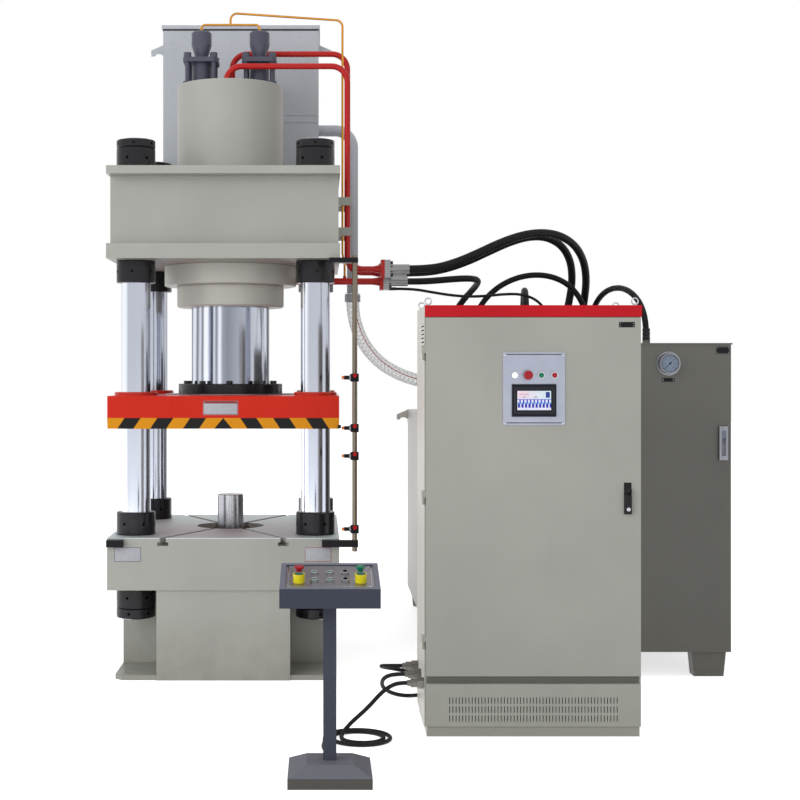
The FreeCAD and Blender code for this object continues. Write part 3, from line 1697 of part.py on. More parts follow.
def cabinet_shell():
    """Front frame with the hinge pins, four panels, floor plate and plinth."""
    wall = dim.cabinet_wall
    strip = dim.frame_strip
    x = (dim.cabinet_left, cabinet_right)
    y = (frame_front, cabinet_back)
    z = (dim.plinth_height, dim.cabinet_height)
    skin = (frame_front, frame_front + wall)
    opening_x = (x[0] + strip, x[1] - strip)
    doorway = block(opening_x, skin, (dim.door_bottom + strip, dim.door_top - strip))
    vent_way = block(opening_x, skin, (dim.vent_bottom + strip, dim.vent_top - strip))
    knuckles = []
    for level in hinge_levels:
        lower = (level - dim.hinge_length / 2, level)
        knuckles.append(rod("Z", hinge_place, lower, dim.hinge_diameter))
        knuckles.append(rod("Z", hinge_place, (lower[0], level + dim.hinge_length / 2), dim.hinge_pin))
        leaf_y = (hinge_place[1], frame_front + dim.hinge_leaf_reach)
        knuckles.append(block((hinge_place[0], x[0]), leaf_y, lower))
    frame = fuse(cut(block(x, skin, z), doorway, vent_way), *knuckles)
    behind = (skin[1], y[1] - wall)
    middle_z = (z[0] + wall, z[1] - wall)
    louvre_y = (frame_front + 2 * strip, frame_front + 2 * strip + dim.louvre_length)
    louvres = []
    for i in range(int(float(dim.louvre_count))):
        low = dim.louvre_level + i * dim.louvre_pitch
        louvres.append(block((x[0], x[0] + wall), louvre_y, (low, low + dim.louvre_height)))
    panels = [
        cut(block((x[0], x[0] + wall), behind, middle_z), *louvres),
        block((x[1] - wall, x[1]), behind, middle_z),
        block(x, (y[1] - wall, y[1]), z),
        block(x, behind, (z[1] - wall, z[1])),
        block(x, behind, (z[0], z[0] + wall)),
    ]
    inset = dim.plinth_inset
    plinth_x = (x[0] + inset, x[1] - inset)
    plinth_y = (dim.cabinet_front + inset, cabinet_back - inset)
    plinth = cut(
        block(plinth_x, plinth_y, (0, z[0])),
        block(
            (plinth_x[0] + wall, plinth_x[1] - wall),
            (plinth_y[0] + wall, plinth_y[1] - wall),
            (0, z[0] - wall),
        ),
    )
    sub_part("cabinet_shell", group(frame, *panels, plinth))


def cabinet_header():
    top = dim.cabinet_height + dim.header_rise
    x = (dim.cabinet_left, cabinet_right)
    y = (dim.cabinet_front, frame_front)
    sub_part("cabinet_header", pan(x, y, (dim.header_bottom, top), dim.cabinet_wall))


def cabinet_vent_panel():
    tray = pan(door_x, (dim.cabinet_front, frame_front), (dim.vent_bottom, dim.vent_top), dim.cabinet_wall)
    count = int(float(dim.vent_slot_columns))
    middle = (door_x[0] + door_x[1]) / 2
    first = middle - (count - 1) / 2 * dim.vent_slot_pitch - dim.vent_slot_width / 2
    skin = (dim.cabinet_front, dim.cabinet_front + dim.cabinet_wall)
    slots = []
    for row in range(3):
        low = dim.vent_row_level + row * dim.vent_row_pitch
        for column in range(count):
            left = first + column * dim.vent_slot_pitch
            slots.append(block((left, left + dim.vent_slot_width), skin, (low, low + dim.vent_slot_height)))
    sub_part("cabinet_vent_panel", cut(tray, *slots))


def cabinet_electrics():
    """Mounting plate on four posts, with drives, breakers, contactors and terminal rows."""
    margin = dim.plate_margin
    wall = dim.cabinet_wall
    plate_x = (dim.cabinet_left + margin, cabinet_right - margin)
    back = cabinet_back - wall
    plate_y = (back - dim.plate_back_gap - wall, back - dim.plate_back_gap)
    plate_z = (dim.plinth_height + 4 * margin, dim.cabinet_height - 2 * margin)
    pieces = [block(plate_x, plate_y, plate_z)]
    for x in (plate_x[0] + margin, plate_x[1] - margin):
        for z in (plate_z[0] + margin, plate_z[1] - margin):
            pieces.append(rod("Y", (x, z), (plate_y[1], back), margin / 2))
    width = plate_x[1] - plate_x[0]
    rows = (
        # share of the plate's width at the left and right; level, height and depth in modules
        (0.04, 0.96, 6, 6, 5.5),
        (0.04, 0.60, 22, 17, 12),
        (0.66, 0.96, 22, 24, 19),
        (0.04, 0.60, 50, 9, 8),
        (0.04, 0.96, 70, 11, 9.5),
        (0.04, 0.44, 93, 15, 10),
        (0.52, 0.96, 93, 26, 17),
        (0.04, 0.44, 118, 12, 9),
    )
    for left, right, level, height, depth in rows:
        x = (plate_x[0] + width * left, plate_x[0] + width * right)
        front = plate_y[0] - depth * dim.gear_module
        low = plate_z[0] + level * dim.gear_module
        pieces.append(block(x, (front, plate_y[0]), (low, low + height * dim.gear_module)))
    sub_part("cabinet_electrics", group(*pieces))


def gland(axis, centre, face, direction):
    """Hexagon body, cap nut and seal of one cable gland, standing on a face."""
    body_end = face + direction * dim.cable_gland_body
    nut_end = body_end + direction * dim.cable_gland_nut_length
    tip = nut_end + direction * dim.cable_gland_seal_length

    def span(a, b):
        return (a, b) if direction > 0 else (b, a)

    return fuse(
        hexagon(axis, centre, span(face, body_end), dim.cable_gland),
        rod(axis, centre, span(body_end, nut_end), dim.cable_gland_nut),
        rod(axis, centre, span(nut_end, tip), dim.cable_gland_seal),
    )


pedestal_back = dim.pedestal_y + dim.pedestal_foot / 2
low_tank_right = dim.low_tank_left + dim.low_tank_width


def cable_glands():
    solids = [gland("X", (y, dim.gland_level), dim.cabinet_left, -1) for y in gland_y]
    solids.append(gland("Y", (dim.pedestal_x, dim.cable_gland / 2), pedestal_back, 1))
    junction_y = dim.low_tank_front - dim.junction_depth / 2
    for share in (0.25, 0.75):
        level = dim.junction_bottom + dim.junction_height * share
        solids.append(gland("X", (junction_y, level), dim.junction_x, -1))
    sub_part("cable_glands", group(*solids))


def cabinet_door():
    tray = pan(door_x, (dim.cabinet_front, frame_front), (dim.door_bottom, dim.door_top), dim.cabinet_wall)
    knuckles = []
    pin_holes = []
    for level in hinge_levels:
        upper = (level + dim.hinge_gap, level + dim.hinge_length / 2)
        knuckles.append(rod("Z", hinge_place, upper, dim.hinge_diameter))
        leaf_y = (hinge_place[1] - dim.hinge_leaf, hinge_place[1])
        knuckles.append(block((hinge_place[0], door_x[0] + dim.cabinet_wall / 2), leaf_y, upper))
        pin_holes.append(rod("Z", hinge_place, upper, dim.hinge_pin + 2 * dim.running_fit))
    skin = (dim.cabinet_front, dim.cabinet_front + dim.cabinet_wall)
    inset = dim.screen_body_inset - dim.control_play
    bezel_half = dim.screen_bezel_width / 2
    screen_hole = block(
        (dim.operator_x - bezel_half + inset, dim.operator_x + bezel_half - inset),
        skin,
        (dim.screen_bezel_bottom + inset, dim.screen_bezel_bottom + dim.screen_bezel_height - inset),
    )
    holes = [rod("Y", (x, dim.door_button_z), skin, dim.control_ring) for x in door_control_x]
    spindle_hole = dim.handle_spindle + 2 * dim.running_fit
    spindle = rod("Y", (dim.handle_x, dim.handle_pivot_z), skin, spindle_hole)
    sub_part("cabinet_door", cut(fuse(tray, *knuckles), *pin_holes, screen_hole, *holes, spindle))


# ---------------------------------------------------------------- operator panel on the door

door_control_x = [dim.door_lamp_x + i * dim.door_button_pitch for i in range(4)]
panel_face = dim.cabinet_front - dim.operator_thickness


def operator_panel():
    """Plate with the touch screen, the signal lamp and the three buttons' rings."""
    half = dim.operator_width / 2
    x = dim.operator_x
    bezel_half = dim.screen_bezel_width / 2
    bezel_x = (x - bezel_half, x + bezel_half)
    bezel_z = (dim.screen_bezel_bottom, dim.screen_bezel_bottom + dim.screen_bezel_height)
    bezel_front = panel_face - dim.screen_bezel_depth
    inset = dim.screen_body_inset
    body_back = dim.cabinet_front + dim.screen_body_depth
    screen_x = (x - dim.screen_width / 2, x + dim.screen_width / 2)
    screen_low = dim.screen_bezel_bottom + (dim.screen_bezel_height - dim.screen_height) / 2
    plate_z = (dim.operator_bottom, dim.operator_bottom + dim.operator_height)
    solids = [
        block((x - half, x + half), (panel_face, dim.cabinet_front), plate_z),
        block(bezel_x, (bezel_front, panel_face), bezel_z),
        block(
            (bezel_x[0] + inset, bezel_x[1] - inset),
            (panel_face, body_back),
            (bezel_z[0] + inset, bezel_z[1] - inset),
        ),
    ]
    screen_z = (screen_low, screen_low + dim.screen_height)
    holes = [block(screen_x, (bezel_front, bezel_front + dim.screen_sink), screen_z)]
    neck = dim.control_ring - 2 * dim.control_play
    skin_back = dim.cabinet_front + dim.cabinet_wall
    block_back = skin_back + dim.control_block_depth
    for place_x in door_control_x:
        place = (place_x, dim.door_button_z)
        solids.append(rod("Y", place, (panel_face - dim.door_ring_height, panel_face), dim.control_ring))
        solids.append(rod("Y", place, (panel_face, skin_back), neck))
        solids.append(rod("Y", place, (skin_back, block_back), dim.control_block))
    lamp = (door_control_x[0], dim.door_button_z)
    lamp_front = panel_face - dim.door_ring_height
    solids.append(rod("Y", lamp, (lamp_front - dim.door_ring_height / 2, lamp_front), dim.control_cap))
    for place_x in door_control_x[1:]:
        place = (place_x, dim.door_button_z)
        holes.append(rod("Y", place, (lamp_front, skin_back), dim.control_hole))
        stem_hole = dim.control_stem + 2 * dim.control_play
        holes.append(rod("Y", place, (skin_back, block_back), stem_hole))
    sub_part("operator_panel", cut(fuse(*solids), *holes))


def door_button(name, x, profile):
    """Cap and stem that slide through the door, drawn outwards from the plate's face."""
    stem = dim.control_stem / 2
    low = -dim.operator_thickness - dim.control_block_depth + dim.control_travel
    outline = [(0, low), (stem, low), (stem, profile[0][1]), *profile]
    sub_part(name, turned(outline, x, panel_face, dim.door_button_z, Rotation(Vector(1, 0, 0), 90)))


def door_buttons():
    neck = dim.control_cap / 2
    ring = dim.door_ring_height
    wide = dim.mushroom_diameter / 2
    top = dim.door_mushroom_height
    edge = dim.cap_edge
    stop = [
        (neck, edge),
        (neck, dim.door_mushroom_lift),
        (wide, top - dim.mushroom_skirt),
        (wide, top - dim.mushroom_rim),
        (wide * 0.8, top),
        (0, top),
    ]
    flush = [(neck, edge), (neck, ring - edge), (neck - edge, ring), (0, ring)]
    door_button("door_button_stop", door_control_x[1], stop)
    door_button("door_button_green", door_control_x[2], flush)
    door_button("door_button_red", door_control_x[3], flush)


def door_latch():
    """Spindle through the door with the handle's pivot head in front and the cam behind."""
    x = dim.handle_x
    z = dim.handle_pivot_z
    half = dim.handle_head_width / 2
    gap = dim.latch_gap
    front = dim.cabinet_front - dim.handle_gap - dim.handle_thickness + 2 * gap
    pivot_y = dim.cabinet_front - dim.handle_gap - dim.handle_thickness / 2
    cam_y = (dim.cabinet_front + dim.latch_depth - dim.latch_thickness, dim.cabinet_front + dim.latch_depth)
    tall = dim.handle_head_height / 2
    head = block((x - half, x + half), (front, dim.cabinet_front - gap), (z - tall / 2, z + tall))
    spindle = rod("Y", (x, z), (dim.cabinet_front - 2 * gap, cam_y[1]), dim.handle_spindle)
    cam_half = dim.latch_width / 2
    cam = block((x - cam_half, x + dim.latch_length), cam_y, (z - cam_half, z + cam_half))
    pin_hole = rod("X", (pivot_y, z), (x - half, x + half), dim.handle_pin + 2 * dim.running_fit)
    sub_part("door_latch", cut(fuse(head, spindle, cam), pin_hole))


def door_handle_lever():
    """Lever with two round ears and its cross pin; it lifts away from the door."""
    x = dim.handle_x
    z = dim.handle_pivot_z
    half = dim.handle_width / 2
    back = dim.cabinet_front - dim.handle_gap
    front = back - dim.handle_thickness
    pivot_y = (front + back) / 2
    grip_top = z - dim.handle_head_height * 0.75
    inner = dim.handle_head_width / 2 + dim.control_play
    grip = block((x - half, x + half), (front, back), (z - dim.handle_length, grip_top))
    pieces = [grip, rod("X", (pivot_y, z), (x - half, x + half), dim.handle_pin)]
    ear_y = (pivot_y - dim.handle_ear / 4, pivot_y + dim.handle_ear / 4)
    for span in ((x - half, x - inner), (x + inner, x + half)):
        pieces.append(rod("X", (pivot_y, z), span, dim.handle_ear))
        pieces.append(block(span, ear_y, (grip_top, z)))
    sub_part("door_handle_lever", fuse(*pieces))


# ---------------------------------------------------------------- power unit

def trapezoid_foot(x, depth, narrow=dim.unit_foot_bottom, wide=dim.unit_foot_top):
    outline = [
        (x - narrow / 2, 0),
        (x + narrow / 2, 0),
        (x + wide / 2, dim.unit_foot_height),
        (x - wide / 2, dim.unit_foot_height),
    ]
    return padded("Y", outline, depth)


def four_feet(x, y):
    inset = dim.unit_foot_top / 2 + dim.unit_foot_inset
    depth = dim.unit_foot_depth
    rows = (
        (y[0] + dim.unit_foot_inset, y[0] + dim.unit_foot_inset + depth),
        (y[1] - dim.unit_foot_inset - depth, y[1] - dim.unit_foot_inset),
    )
    return [trapezoid_foot(place, row) for place in (x[0] + inset, x[1] - inset) for row in rows]


def oil_tank():
    x = (dim.oil_tank_right - dim.oil_tank_width, dim.oil_tank_right)
    y = (dim.oil_tank_front, dim.oil_tank_front + dim.oil_tank_depth)
    over = dim.oil_tank_lid_overhang
    lid_low = dim.oil_tank_top - dim.oil_tank_lid
    box = hollow_box(x, y, (dim.unit_foot_height, lid_low), dim.unit_wall)
    lid = block((x[0] - over, x[1] + over), (y[0] - over, y[1] + over), (lid_low, dim.oil_tank_top))
    port_top = dim.oil_tank_top + dim.port_height / 2
    port = rod("Z", (right_hose[-1][0], right_hose[-1][1]), (dim.oil_tank_top, port_top), dim.small_port)
    sub_part("oil_tank", fuse(box, lid, port, *four_feet(x, y)))


def tank_gauges():
    """Dial pressure gauge on its wall flange, and tall level glass, on the oil tank's front."""
    front = dim.oil_tank_front
    place = (dim.gauge_x, dim.gauge_z)
    case_front = front - dim.gauge_depth
    bezel_front = case_front - dim.gauge_bezel_depth
    face_diameter = dim.gauge_diameter - 2 * dim.gauge_sink
    dial = cut(
        fuse(
            rod("Y", place, (front - dim.gauge_flange_thickness, front), dim.gauge_flange),
            rod("Y", place, (case_front, front), dim.gauge_diameter),
            rod("Y", place, (bezel_front, case_front), dim.gauge_bezel),
        ),
        rod("Y", place, (bezel_front, bezel_front + dim.gauge_sink), face_diameter),
    )
    half = dim.level_gauge_width / 2
    low = dim.level_gauge_z
    high = low + dim.level_gauge_height
    x = dim.level_gauge_x
    level_front = front - dim.level_gauge_depth
    glass = cut(
        block((x - half, x + half), (level_front, front), (low, high)),
        block(
            (x - half / 2, x + half / 2),
            (level_front, level_front + dim.gauge_sink),
            (low + half, high - half),
        ),
    )
    sub_part("tank_gauges", group(dial, glass))


def valve_tank():
    """Low reservoir behind the cabinet that carries the pump set and the hose ports."""
    x = (dim.low_tank_left, low_tank_right)
    y = (dim.low_tank_front, dim.low_tank_front + dim.low_tank_depth)
    top = dim.low_tank_top
    box = hollow_box(x, y, (dim.unit_foot_height, top), dim.unit_wall)
    hook_y = y[1] - dim.hook_height
    ears = [hook(x[0], -1, hook_y, top), hook(x[1], 1, hook_y, top)]
    ports = [
        rod("Z", (end[0], end[1]), (top, top + dim.port_height), diameter)
        for end, diameter in (
            (fold_hose[-1], dim.port_diameter),
            (arc_hose[0], dim.small_port),
            (over_hose[0], dim.port_diameter),
            (over_hose[-1], dim.port_diameter),
        )
    ]
    inlet_x, inlet_y, inlet_z = clear_hose[-1]
    filter_x = inlet_x + dim.filter_reach
    filter_top = inlet_z + dim.return_port
    spigot = rod("X", (inlet_y, inlet_z), (inlet_x, filter_x), dim.return_port)
    housing = rod("Z", (filter_x, inlet_y), (top, filter_top), dim.filter_diameter)
    cap = rod("Z", (filter_x, inlet_y), (filter_top, filter_top + dim.port_height / 2), dim.filter_cap)
    sub_part("valve_tank", fuse(box, *ears, *ports, spigot, housing, cap, *four_feet(x, y)))


def pump_set():
    """Motor, bell housing and pump on their feet, the valve manifold and the junction box."""
    top = dim.low_tank_top
    axis = (dim.motor_y, top + dim.motor_height)
    motor_end = dim.motor_x + dim.motor_length
    bell_end = motor_end + dim.bell_length
    pump_end = bell_end + dim.pump_length
    foot_x = (dim.motor_x + dim.bell_length, motor_end - dim.port_height)
    foot_y = (dim.motor_y - dim.motor_diameter * 0.4, dim.motor_y + dim.motor_diameter * 0.4)
    foot = block(foot_x, foot_y, (top, top + dim.motor_height / 2))
    box_half = dim.port_diameter
    middle = dim.motor_x + dim.motor_length / 2
    terminal_z = (axis[1] + dim.motor_diameter * 0.4, axis[1] + dim.motor_diameter / 2 + dim.port_height)
    terminal = block(
        (middle - box_half, middle + box_half), (dim.motor_y - box_half, dim.motor_y + box_half), terminal_z
    )
    motor = fuse(
        rod("X", axis, (dim.motor_x, motor_end), dim.motor_diameter),
        rod("X", axis, (motor_end, bell_end), dim.bell_diameter),
        rod("X", axis, (bell_end, pump_end), dim.pump_diameter),
        foot,
        terminal,
    )
    half_x = dim.manifold_width / 2
    half_y = dim.manifold_depth / 2
    x = (dim.manifold_x - half_x, dim.manifold_x + half_x)
    y = (dim.manifold_y - half_y, dim.manifold_y + half_y)
    manifold_top = top + dim.manifold_height
    ports = [
        rod("Z", (end[0], end[1]), (manifold_top, manifold_top + dim.port_height), diameter)
        for end, diameter in (
            (front_hose[-1], dim.port_diameter),
            (rear_hose[-1], dim.port_diameter),
            (arc_hose[-1], dim.small_port),
            (right_hose[0], dim.small_port),
            (pilot_hose[-1], dim.pilot_fitting),
        )
    ]
    valve_y = (y[1], y[1] + dim.port_height * 1.5)
    valve_z = top + dim.manifold_height * 0.6
    valves = [
        rod("Y", (x[0] + dim.manifold_width * share, valve_z), valve_y, dim.port_diameter)
        for share in (0.2, 0.5, 0.8)
    ]
    manifold = fuse(block(x, y, (top, manifold_top)), *ports, *valves)
    junction = block(
        (dim.junction_x, dim.junction_x + dim.junction_width),
        (dim.low_tank_front - dim.junction_depth, dim.low_tank_front),
        (dim.junction_bottom, dim.junction_bottom + dim.junction_height),
    )
    sub_part("pump_set", group(motor, manifold, junction))


# ---------------------------------------------------------------- hose and cable routes
# Points of the free hoses and cables, chosen by hand; each starts and ends on its fitting.

front_hose = [
    (961, -112, 2093),
    (1076.8, -112, 2093),
    (1206, -107, 2127),
    (1327, -97, 2179),
    (1443, -78, 2235),
    (1561, -48, 2279),
    (1678, -3, 2301),
    (1790, 56, 2291),
    (1883, 126, 2246),
    (1948, 215, 2171),
    (1980, 300, 2073),
    (1983, 375, 1961),
    (1971, 432, 1839),
    (1958, 470, 1711),
    (1958, 470, 1591),
]
rear_hose = [
    (961, 165, 2093),
    (1070.5, 165, 2093),
    (1194, 163, 2117),
    (1310, 160, 2159),
    (1422, 159, 2212),
    (1534, 165, 2263),
    (1647, 185, 2296),
    (1754, 224, 2294),
    (1842, 277, 2250),
    (1897, 334, 2170),
    (1915, 383, 2064),
    (1903, 419, 1947),
    (1877, 440, 1826),
    (1855, 450, 1700.5),
    (1855, 450, 1591),
]
fold_hose = [
    (961, 45, 2037),
    (1047.2, 45, 2037),
    (1147, 50, 2045),
    (1238, 75, 2054),
    (1312, 126, 2059),
    (1359, 203, 2056),
    (1369, 291, 2041),
    (1348, 375, 2010),
    (1306, 443, 1962),
    (1262, 488, 1895),
    (1228, 512, 1813),
    (1205, 521, 1721),
    (1193, 523, 1625),
    (1187, 522, 1527),
    (1185, 520, 1427.2),
    (1185, 520, 1341),
]
arc_hose = [
    (1330, 480, 1341),
    (1330, 480, 1460.7),
    (1331, 460, 1600),
    (1336, 429, 1732),
    (1358, 388, 1854),
    (1414, 342, 1959),
    (1506, 298, 2040),
    (1626, 272, 2086),
    (1755, 270, 2088),
    (1869, 284, 2044),
    (1949, 308, 1959),
    (1994, 345, 1846),
    (2010, 385, 1716),
    (2010, 385, 1591),
]
right_hose = [
    (2040, 545, 1591),
    (2040, 545, 1682.3),
    (2036, 506, 1780),
    (2033, 440, 1859),
    (2036, 356, 1919),
    (2047, 261, 1963),
    (2064, 162, 1991),
    (2087, 60, 2003),
    (2115, -43, 1996),
    (2146, -145, 1963),
    (2174, -232, 1896),
    (2189, -280, 1801.3),
    (2189, -280, 1710),
]
over_hose = [
    (1655, 400, 1341),
    (1655, 400, 1439),
    (1654, 387, 1554),
    (1653, 374, 1668),
    (1653, 379, 1779),
    (1657, 419, 1876),
    (1664, 496, 1942),
    (1672, 595, 1966),
    (1681, 694, 1943),
    (1688, 771, 1876),
    (1691, 812, 1779),
    (1692, 817, 1667),
    (1691, 804, 1554),
    (1690, 790, 1439),
    (1690, 790, 1341),
]
pilot_hose = [
    (898, 45, 1997),
    (987, 45, 1997),
    (1090, 42, 1979),
    (1191, 39, 1962),
    (1291, 39, 1954),
    (1389, 46, 1958),
    (1486, 63, 1969),
    (1578, 95, 1972),
    (1660, 141, 1952),
    (1722, 197, 1909),
    (1761, 262, 1846),
    (1781, 331, 1771),
    (1790, 385, 1680.8),
    (1790, 385, 1591),
]
clear_hose = [
    (675, 700, 2010),
    (675, 700, 1915.1),
    (698, 709, 1804),
    (746, 728, 1703),
    (817, 756, 1618),
    (907, 790, 1555),
    (1011, 824, 1511),
    (1121, 853, 1484),
    (1235.1, 870, 1470),
    (1330, 870, 1470),
]
cable_to_loops = [
    (855, -1728, 216),
    (824, -1728, 216),
    (791, -1727, 206),
    (758, -1725, 184),
    (728, -1722, 154),
    (702, -1720, 124),
    (674, -1717, 95),
    (646, -1716, 70),
    (621, -1722, 49),
    (600.5, -1739, 31.5),
    (584, -1766, 17),
    (574, -1802, 9),
    (574, -1838, 9),
]
loops_to_pedestal = [
    (504, -1838, 9),
    (504, -1879, 9),
    (502, -1926, 9.5),
    (498, -1973, 11),
    (499, -2021, 13),
    (505, -2068, 16),
    (514, -2115, 19),
    (521, -2166, 21),
    (521, -2210.5, 21),
]
low_cable = [
    (855, -1539, 216),
    (796.9, -1539, 216),
    (758, -1505, 187),
    (760, -1444, 140),
    (797, -1385, 103),
    (846, -1333, 79),
    (894, -1284, 66),
    (940, -1233, 59),
    (979, -1179, 54),
    (1013, -1122, 49),
    (1039, -1063, 42),
    (1060, -1002, 33),
    (1075, -939, 24),
    (1085, -876, 17),
    (1093, -797, 11),
    (1099, -700, 9),
    (1099, -588, 9),
    (1093, -474, 9),
    (1087, -362, 9),
    (1087, -256, 9.5),
    (1085, -170, 11),
    (1080, -101, 15),
    (1075, -36, 26),
    (1069, 26, 46),
    (1061, 86, 75),
    (1054, 144, 113),
    (1055, 199, 160),
    (1074, 250, 209),
    (1119.9, 285, 245),
    (1178, 285, 245),
]
rear_cable = [
    (855, -1350, 216),
    (800.2, -1350, 216),
    (760, -1308, 207),
    (769, -1237, 189),
    (829, -1175, 168),
    (896, -1135, 147),
    (954, -1100, 123),
    (1008, -1063, 98),
    (1058, -1020, 74),
    (1098, -968, 51),
    (1124, -909, 31),
    (1139, -845, 17.5),
    (1150, -768, 10.5),
    (1158, -670, 9),
    (1159, -560, 9),
    (1150, -445, 9),
    (1138, -335, 9),
    (1132, -235, 10.5),
    (1125, -143, 18),
    (1114, -63, 35),
    (1107, -6, 57),
    (1099, 48, 87),
    (1088, 98, 124),
    (1076, 143, 169),
    (1066, 185, 220),
    (1063, 225, 277),
    (1079, 262, 335),
    (1123.2, 285, 375),
    (1178, 285, 375),
]


def hoses_and_cables():
    sub_part("pressure_hoses", group(
        cord("front hose", front_hose, dim.main_hose),
        cord("rear hose", rear_hose, dim.main_hose),
        cord("fold hose", fold_hose, dim.fold_hose),
    ))
    sub_part("jumper_hoses", group(
        cord("arc hose", arc_hose, dim.jumper_hose),
        cord("right hose", right_hose, dim.jumper_hose),
        cord("over hose", over_hose, dim.over_hose),
    ))
    sub_part("pilot_hose", cord("pilot hose", pilot_hose, dim.pilot_hose))
    sub_part("clear_return_hose", cord("clear hose", clear_hose, dim.clear_hose))
    sub_part("pedestal_cable", group(
        cord("cable to loops", cable_to_loops, dim.cable_diameter),
        cord("loops to pedestal", loops_to_pedestal, dim.cable_diameter),
    ))
    sub_part("cabinet_cables", group(
        cord("low cable", low_cable, dim.cable_diameter),
        cord("rear cable", rear_cable, dim.cable_diameter),
    ))


def loop_arcs():
    """Half turns of the loose loops on the floor, from the tight inner one outwards."""
    x = float(dim.loop_start_x)
    y = float(dim.loop_start_y)
    z = float(dim.cable_diameter) / 2
    count = int(float(dim.loop_half_turns))
    edges = []
    for i in range(count):
        side = 1 if i % 2 == 0 else -1
        radius = float(dim.loop_radius) - (count - 1 - i) * float(dim.loop_step)
        if i == 0:
            radius = radius - float(dim.loop_landing)
        middle = Vector(x + side * radius, y - side * radius, z)
        end_x = x + 2 * side * radius
        edges.append(Part.Arc(Vector(x, y, z), middle, Vector(end_x, y, z)).toShape())
        x = end_x
    return edges


def pedestal_cable_coil():
    diameter = float(dim.cable_diameter)
    edges = loop_arcs()
    wire = Part.Wire(edges)
    shape = sweep(wire, diameter)
    turns = []
    for edge in edges:
        turns.append([edge.valueAt(value) for value in parameters(edge)])
    gap = min(
        (a - b).Length
        for first in range(len(turns))
        for other in range(first + 2, len(turns))
        for a in turns[first]
        for b in turns[other]
    ) - diameter
    print(f"pedestal cable loops: length {wire.Length:.0f}, least gap to itself {gap:.2f}")
    sub_part("pedestal_cable_coil", solid_feature(shape))


def parameters(edge, count=48):
    span = edge.LastParameter - edge.FirstParameter
    return [edge.FirstParameter + span * i / count for i in range(count + 1)]


# ---------------------------------------------------------------- build

for build in (
    bed_base,
    bed_table,
    columns,
    column_nuts,
    upper_crosshead,
    cylinder_barrel,
    cylinder_ring_nut,
    cylinder_gland,
    ram,
    ram_clamp,
    slide_platen,
    guide_bushes,
    ejector,
    prefill_valves,
    overhead_tank,
    overhead_tank_lid,
    return_pipe,
    pressure_pipes,
    pilot_pipe,
    pipe_brackets,
    hose_fittings,
    switch_bar,
    limit_switches,
    pedestal_stand,
    pedestal_console,
    pedestal_panel,
    pedestal_controls,
    cabinet_shell,
    cabinet_header,
    cabinet_vent_panel,
    cabinet_electrics,
    cable_glands,
    cabinet_door,
    operator_panel,
    door_buttons,
    door_latch,
    door_handle_lever,
    oil_tank,
    tank_gauges,
    valve_tank,
    pump_set,
    hoses_and_cables,
    pedestal_cable_coil,
):
    build()

doc.recompute()

failed = [one.Name for one in doc.Objects if "Invalid" in one.State or "Error" in one.State]
for name, feature in sub_parts.items():
    shape = feature.Shape
    if shape.isNull() or not shape.isValid() or not shape.Solids:
        failed.append(name)
if failed:
    raise RuntimeError(f"features that did not build: {failed}")

os.makedirs("parts", exist_ok=True)
for name, feature in sub_parts.items():
    feature.Shape.exportStep(f"parts/{name}.step")
print(f"{len(sub_parts)} nodes, {sum(len(one.Shape.Solids) for one in sub_parts.values())} solids")
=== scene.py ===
import math
from functools import reduce

import bmesh
import bpy
from mathutils import Matrix, Vector


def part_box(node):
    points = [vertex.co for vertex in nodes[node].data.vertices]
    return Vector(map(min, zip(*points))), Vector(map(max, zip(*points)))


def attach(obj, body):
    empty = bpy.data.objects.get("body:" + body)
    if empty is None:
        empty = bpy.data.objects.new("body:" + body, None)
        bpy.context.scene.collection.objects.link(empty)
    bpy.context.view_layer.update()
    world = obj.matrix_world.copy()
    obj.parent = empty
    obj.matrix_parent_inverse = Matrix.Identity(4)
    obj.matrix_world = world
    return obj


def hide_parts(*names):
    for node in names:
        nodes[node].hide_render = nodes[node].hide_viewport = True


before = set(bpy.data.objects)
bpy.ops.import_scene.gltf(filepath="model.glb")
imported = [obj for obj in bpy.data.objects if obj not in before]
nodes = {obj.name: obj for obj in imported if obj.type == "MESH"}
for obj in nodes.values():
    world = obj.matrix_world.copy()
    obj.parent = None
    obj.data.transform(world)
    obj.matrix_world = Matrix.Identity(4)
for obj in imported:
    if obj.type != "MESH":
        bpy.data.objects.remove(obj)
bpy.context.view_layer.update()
MM = 0.001


def box_mm(node):
    """Lowest and highest corner of a CAD node at rest, in millimetres."""
    return [[round(value / MM, 3) for value in corner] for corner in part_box(node)]


# ---------------------------------------------------------------- camera

IMAGE_WIDTH = 800
FOCAL_PIXELS = 1500
AXIS_PIXEL = (320, 375)
SENSOR = 36.0
CAMERA_PLACE = (0.484, -8.120, 1.528)
FAR_CLIP = 200

camera_data = bpy.data.cameras.new("camera")
camera_data.sensor_width = SENSOR
camera_data.lens = FOCAL_PIXELS / IMAGE_WIDTH * SENSOR
camera_data.shift_x = (IMAGE_WIDTH / 2 - AXIS_PIXEL[0]) / IMAGE_WIDTH
camera_data.shift_y = -(IMAGE_WIDTH / 2 - AXIS_PIXEL[1]) / IMAGE_WIDTH
camera_data.clip_end = FAR_CLIP
camera = bpy.data.objects.new("camera", camera_data)
camera.location = CAMERA_PLACE
camera.rotation_euler = (math.radians(90), 0, 0)
bpy.context.collection.objects.link(camera)
bpy.context.scene.camera = camera
bpy.context.scene.view_settings.view_transform = "Standard"
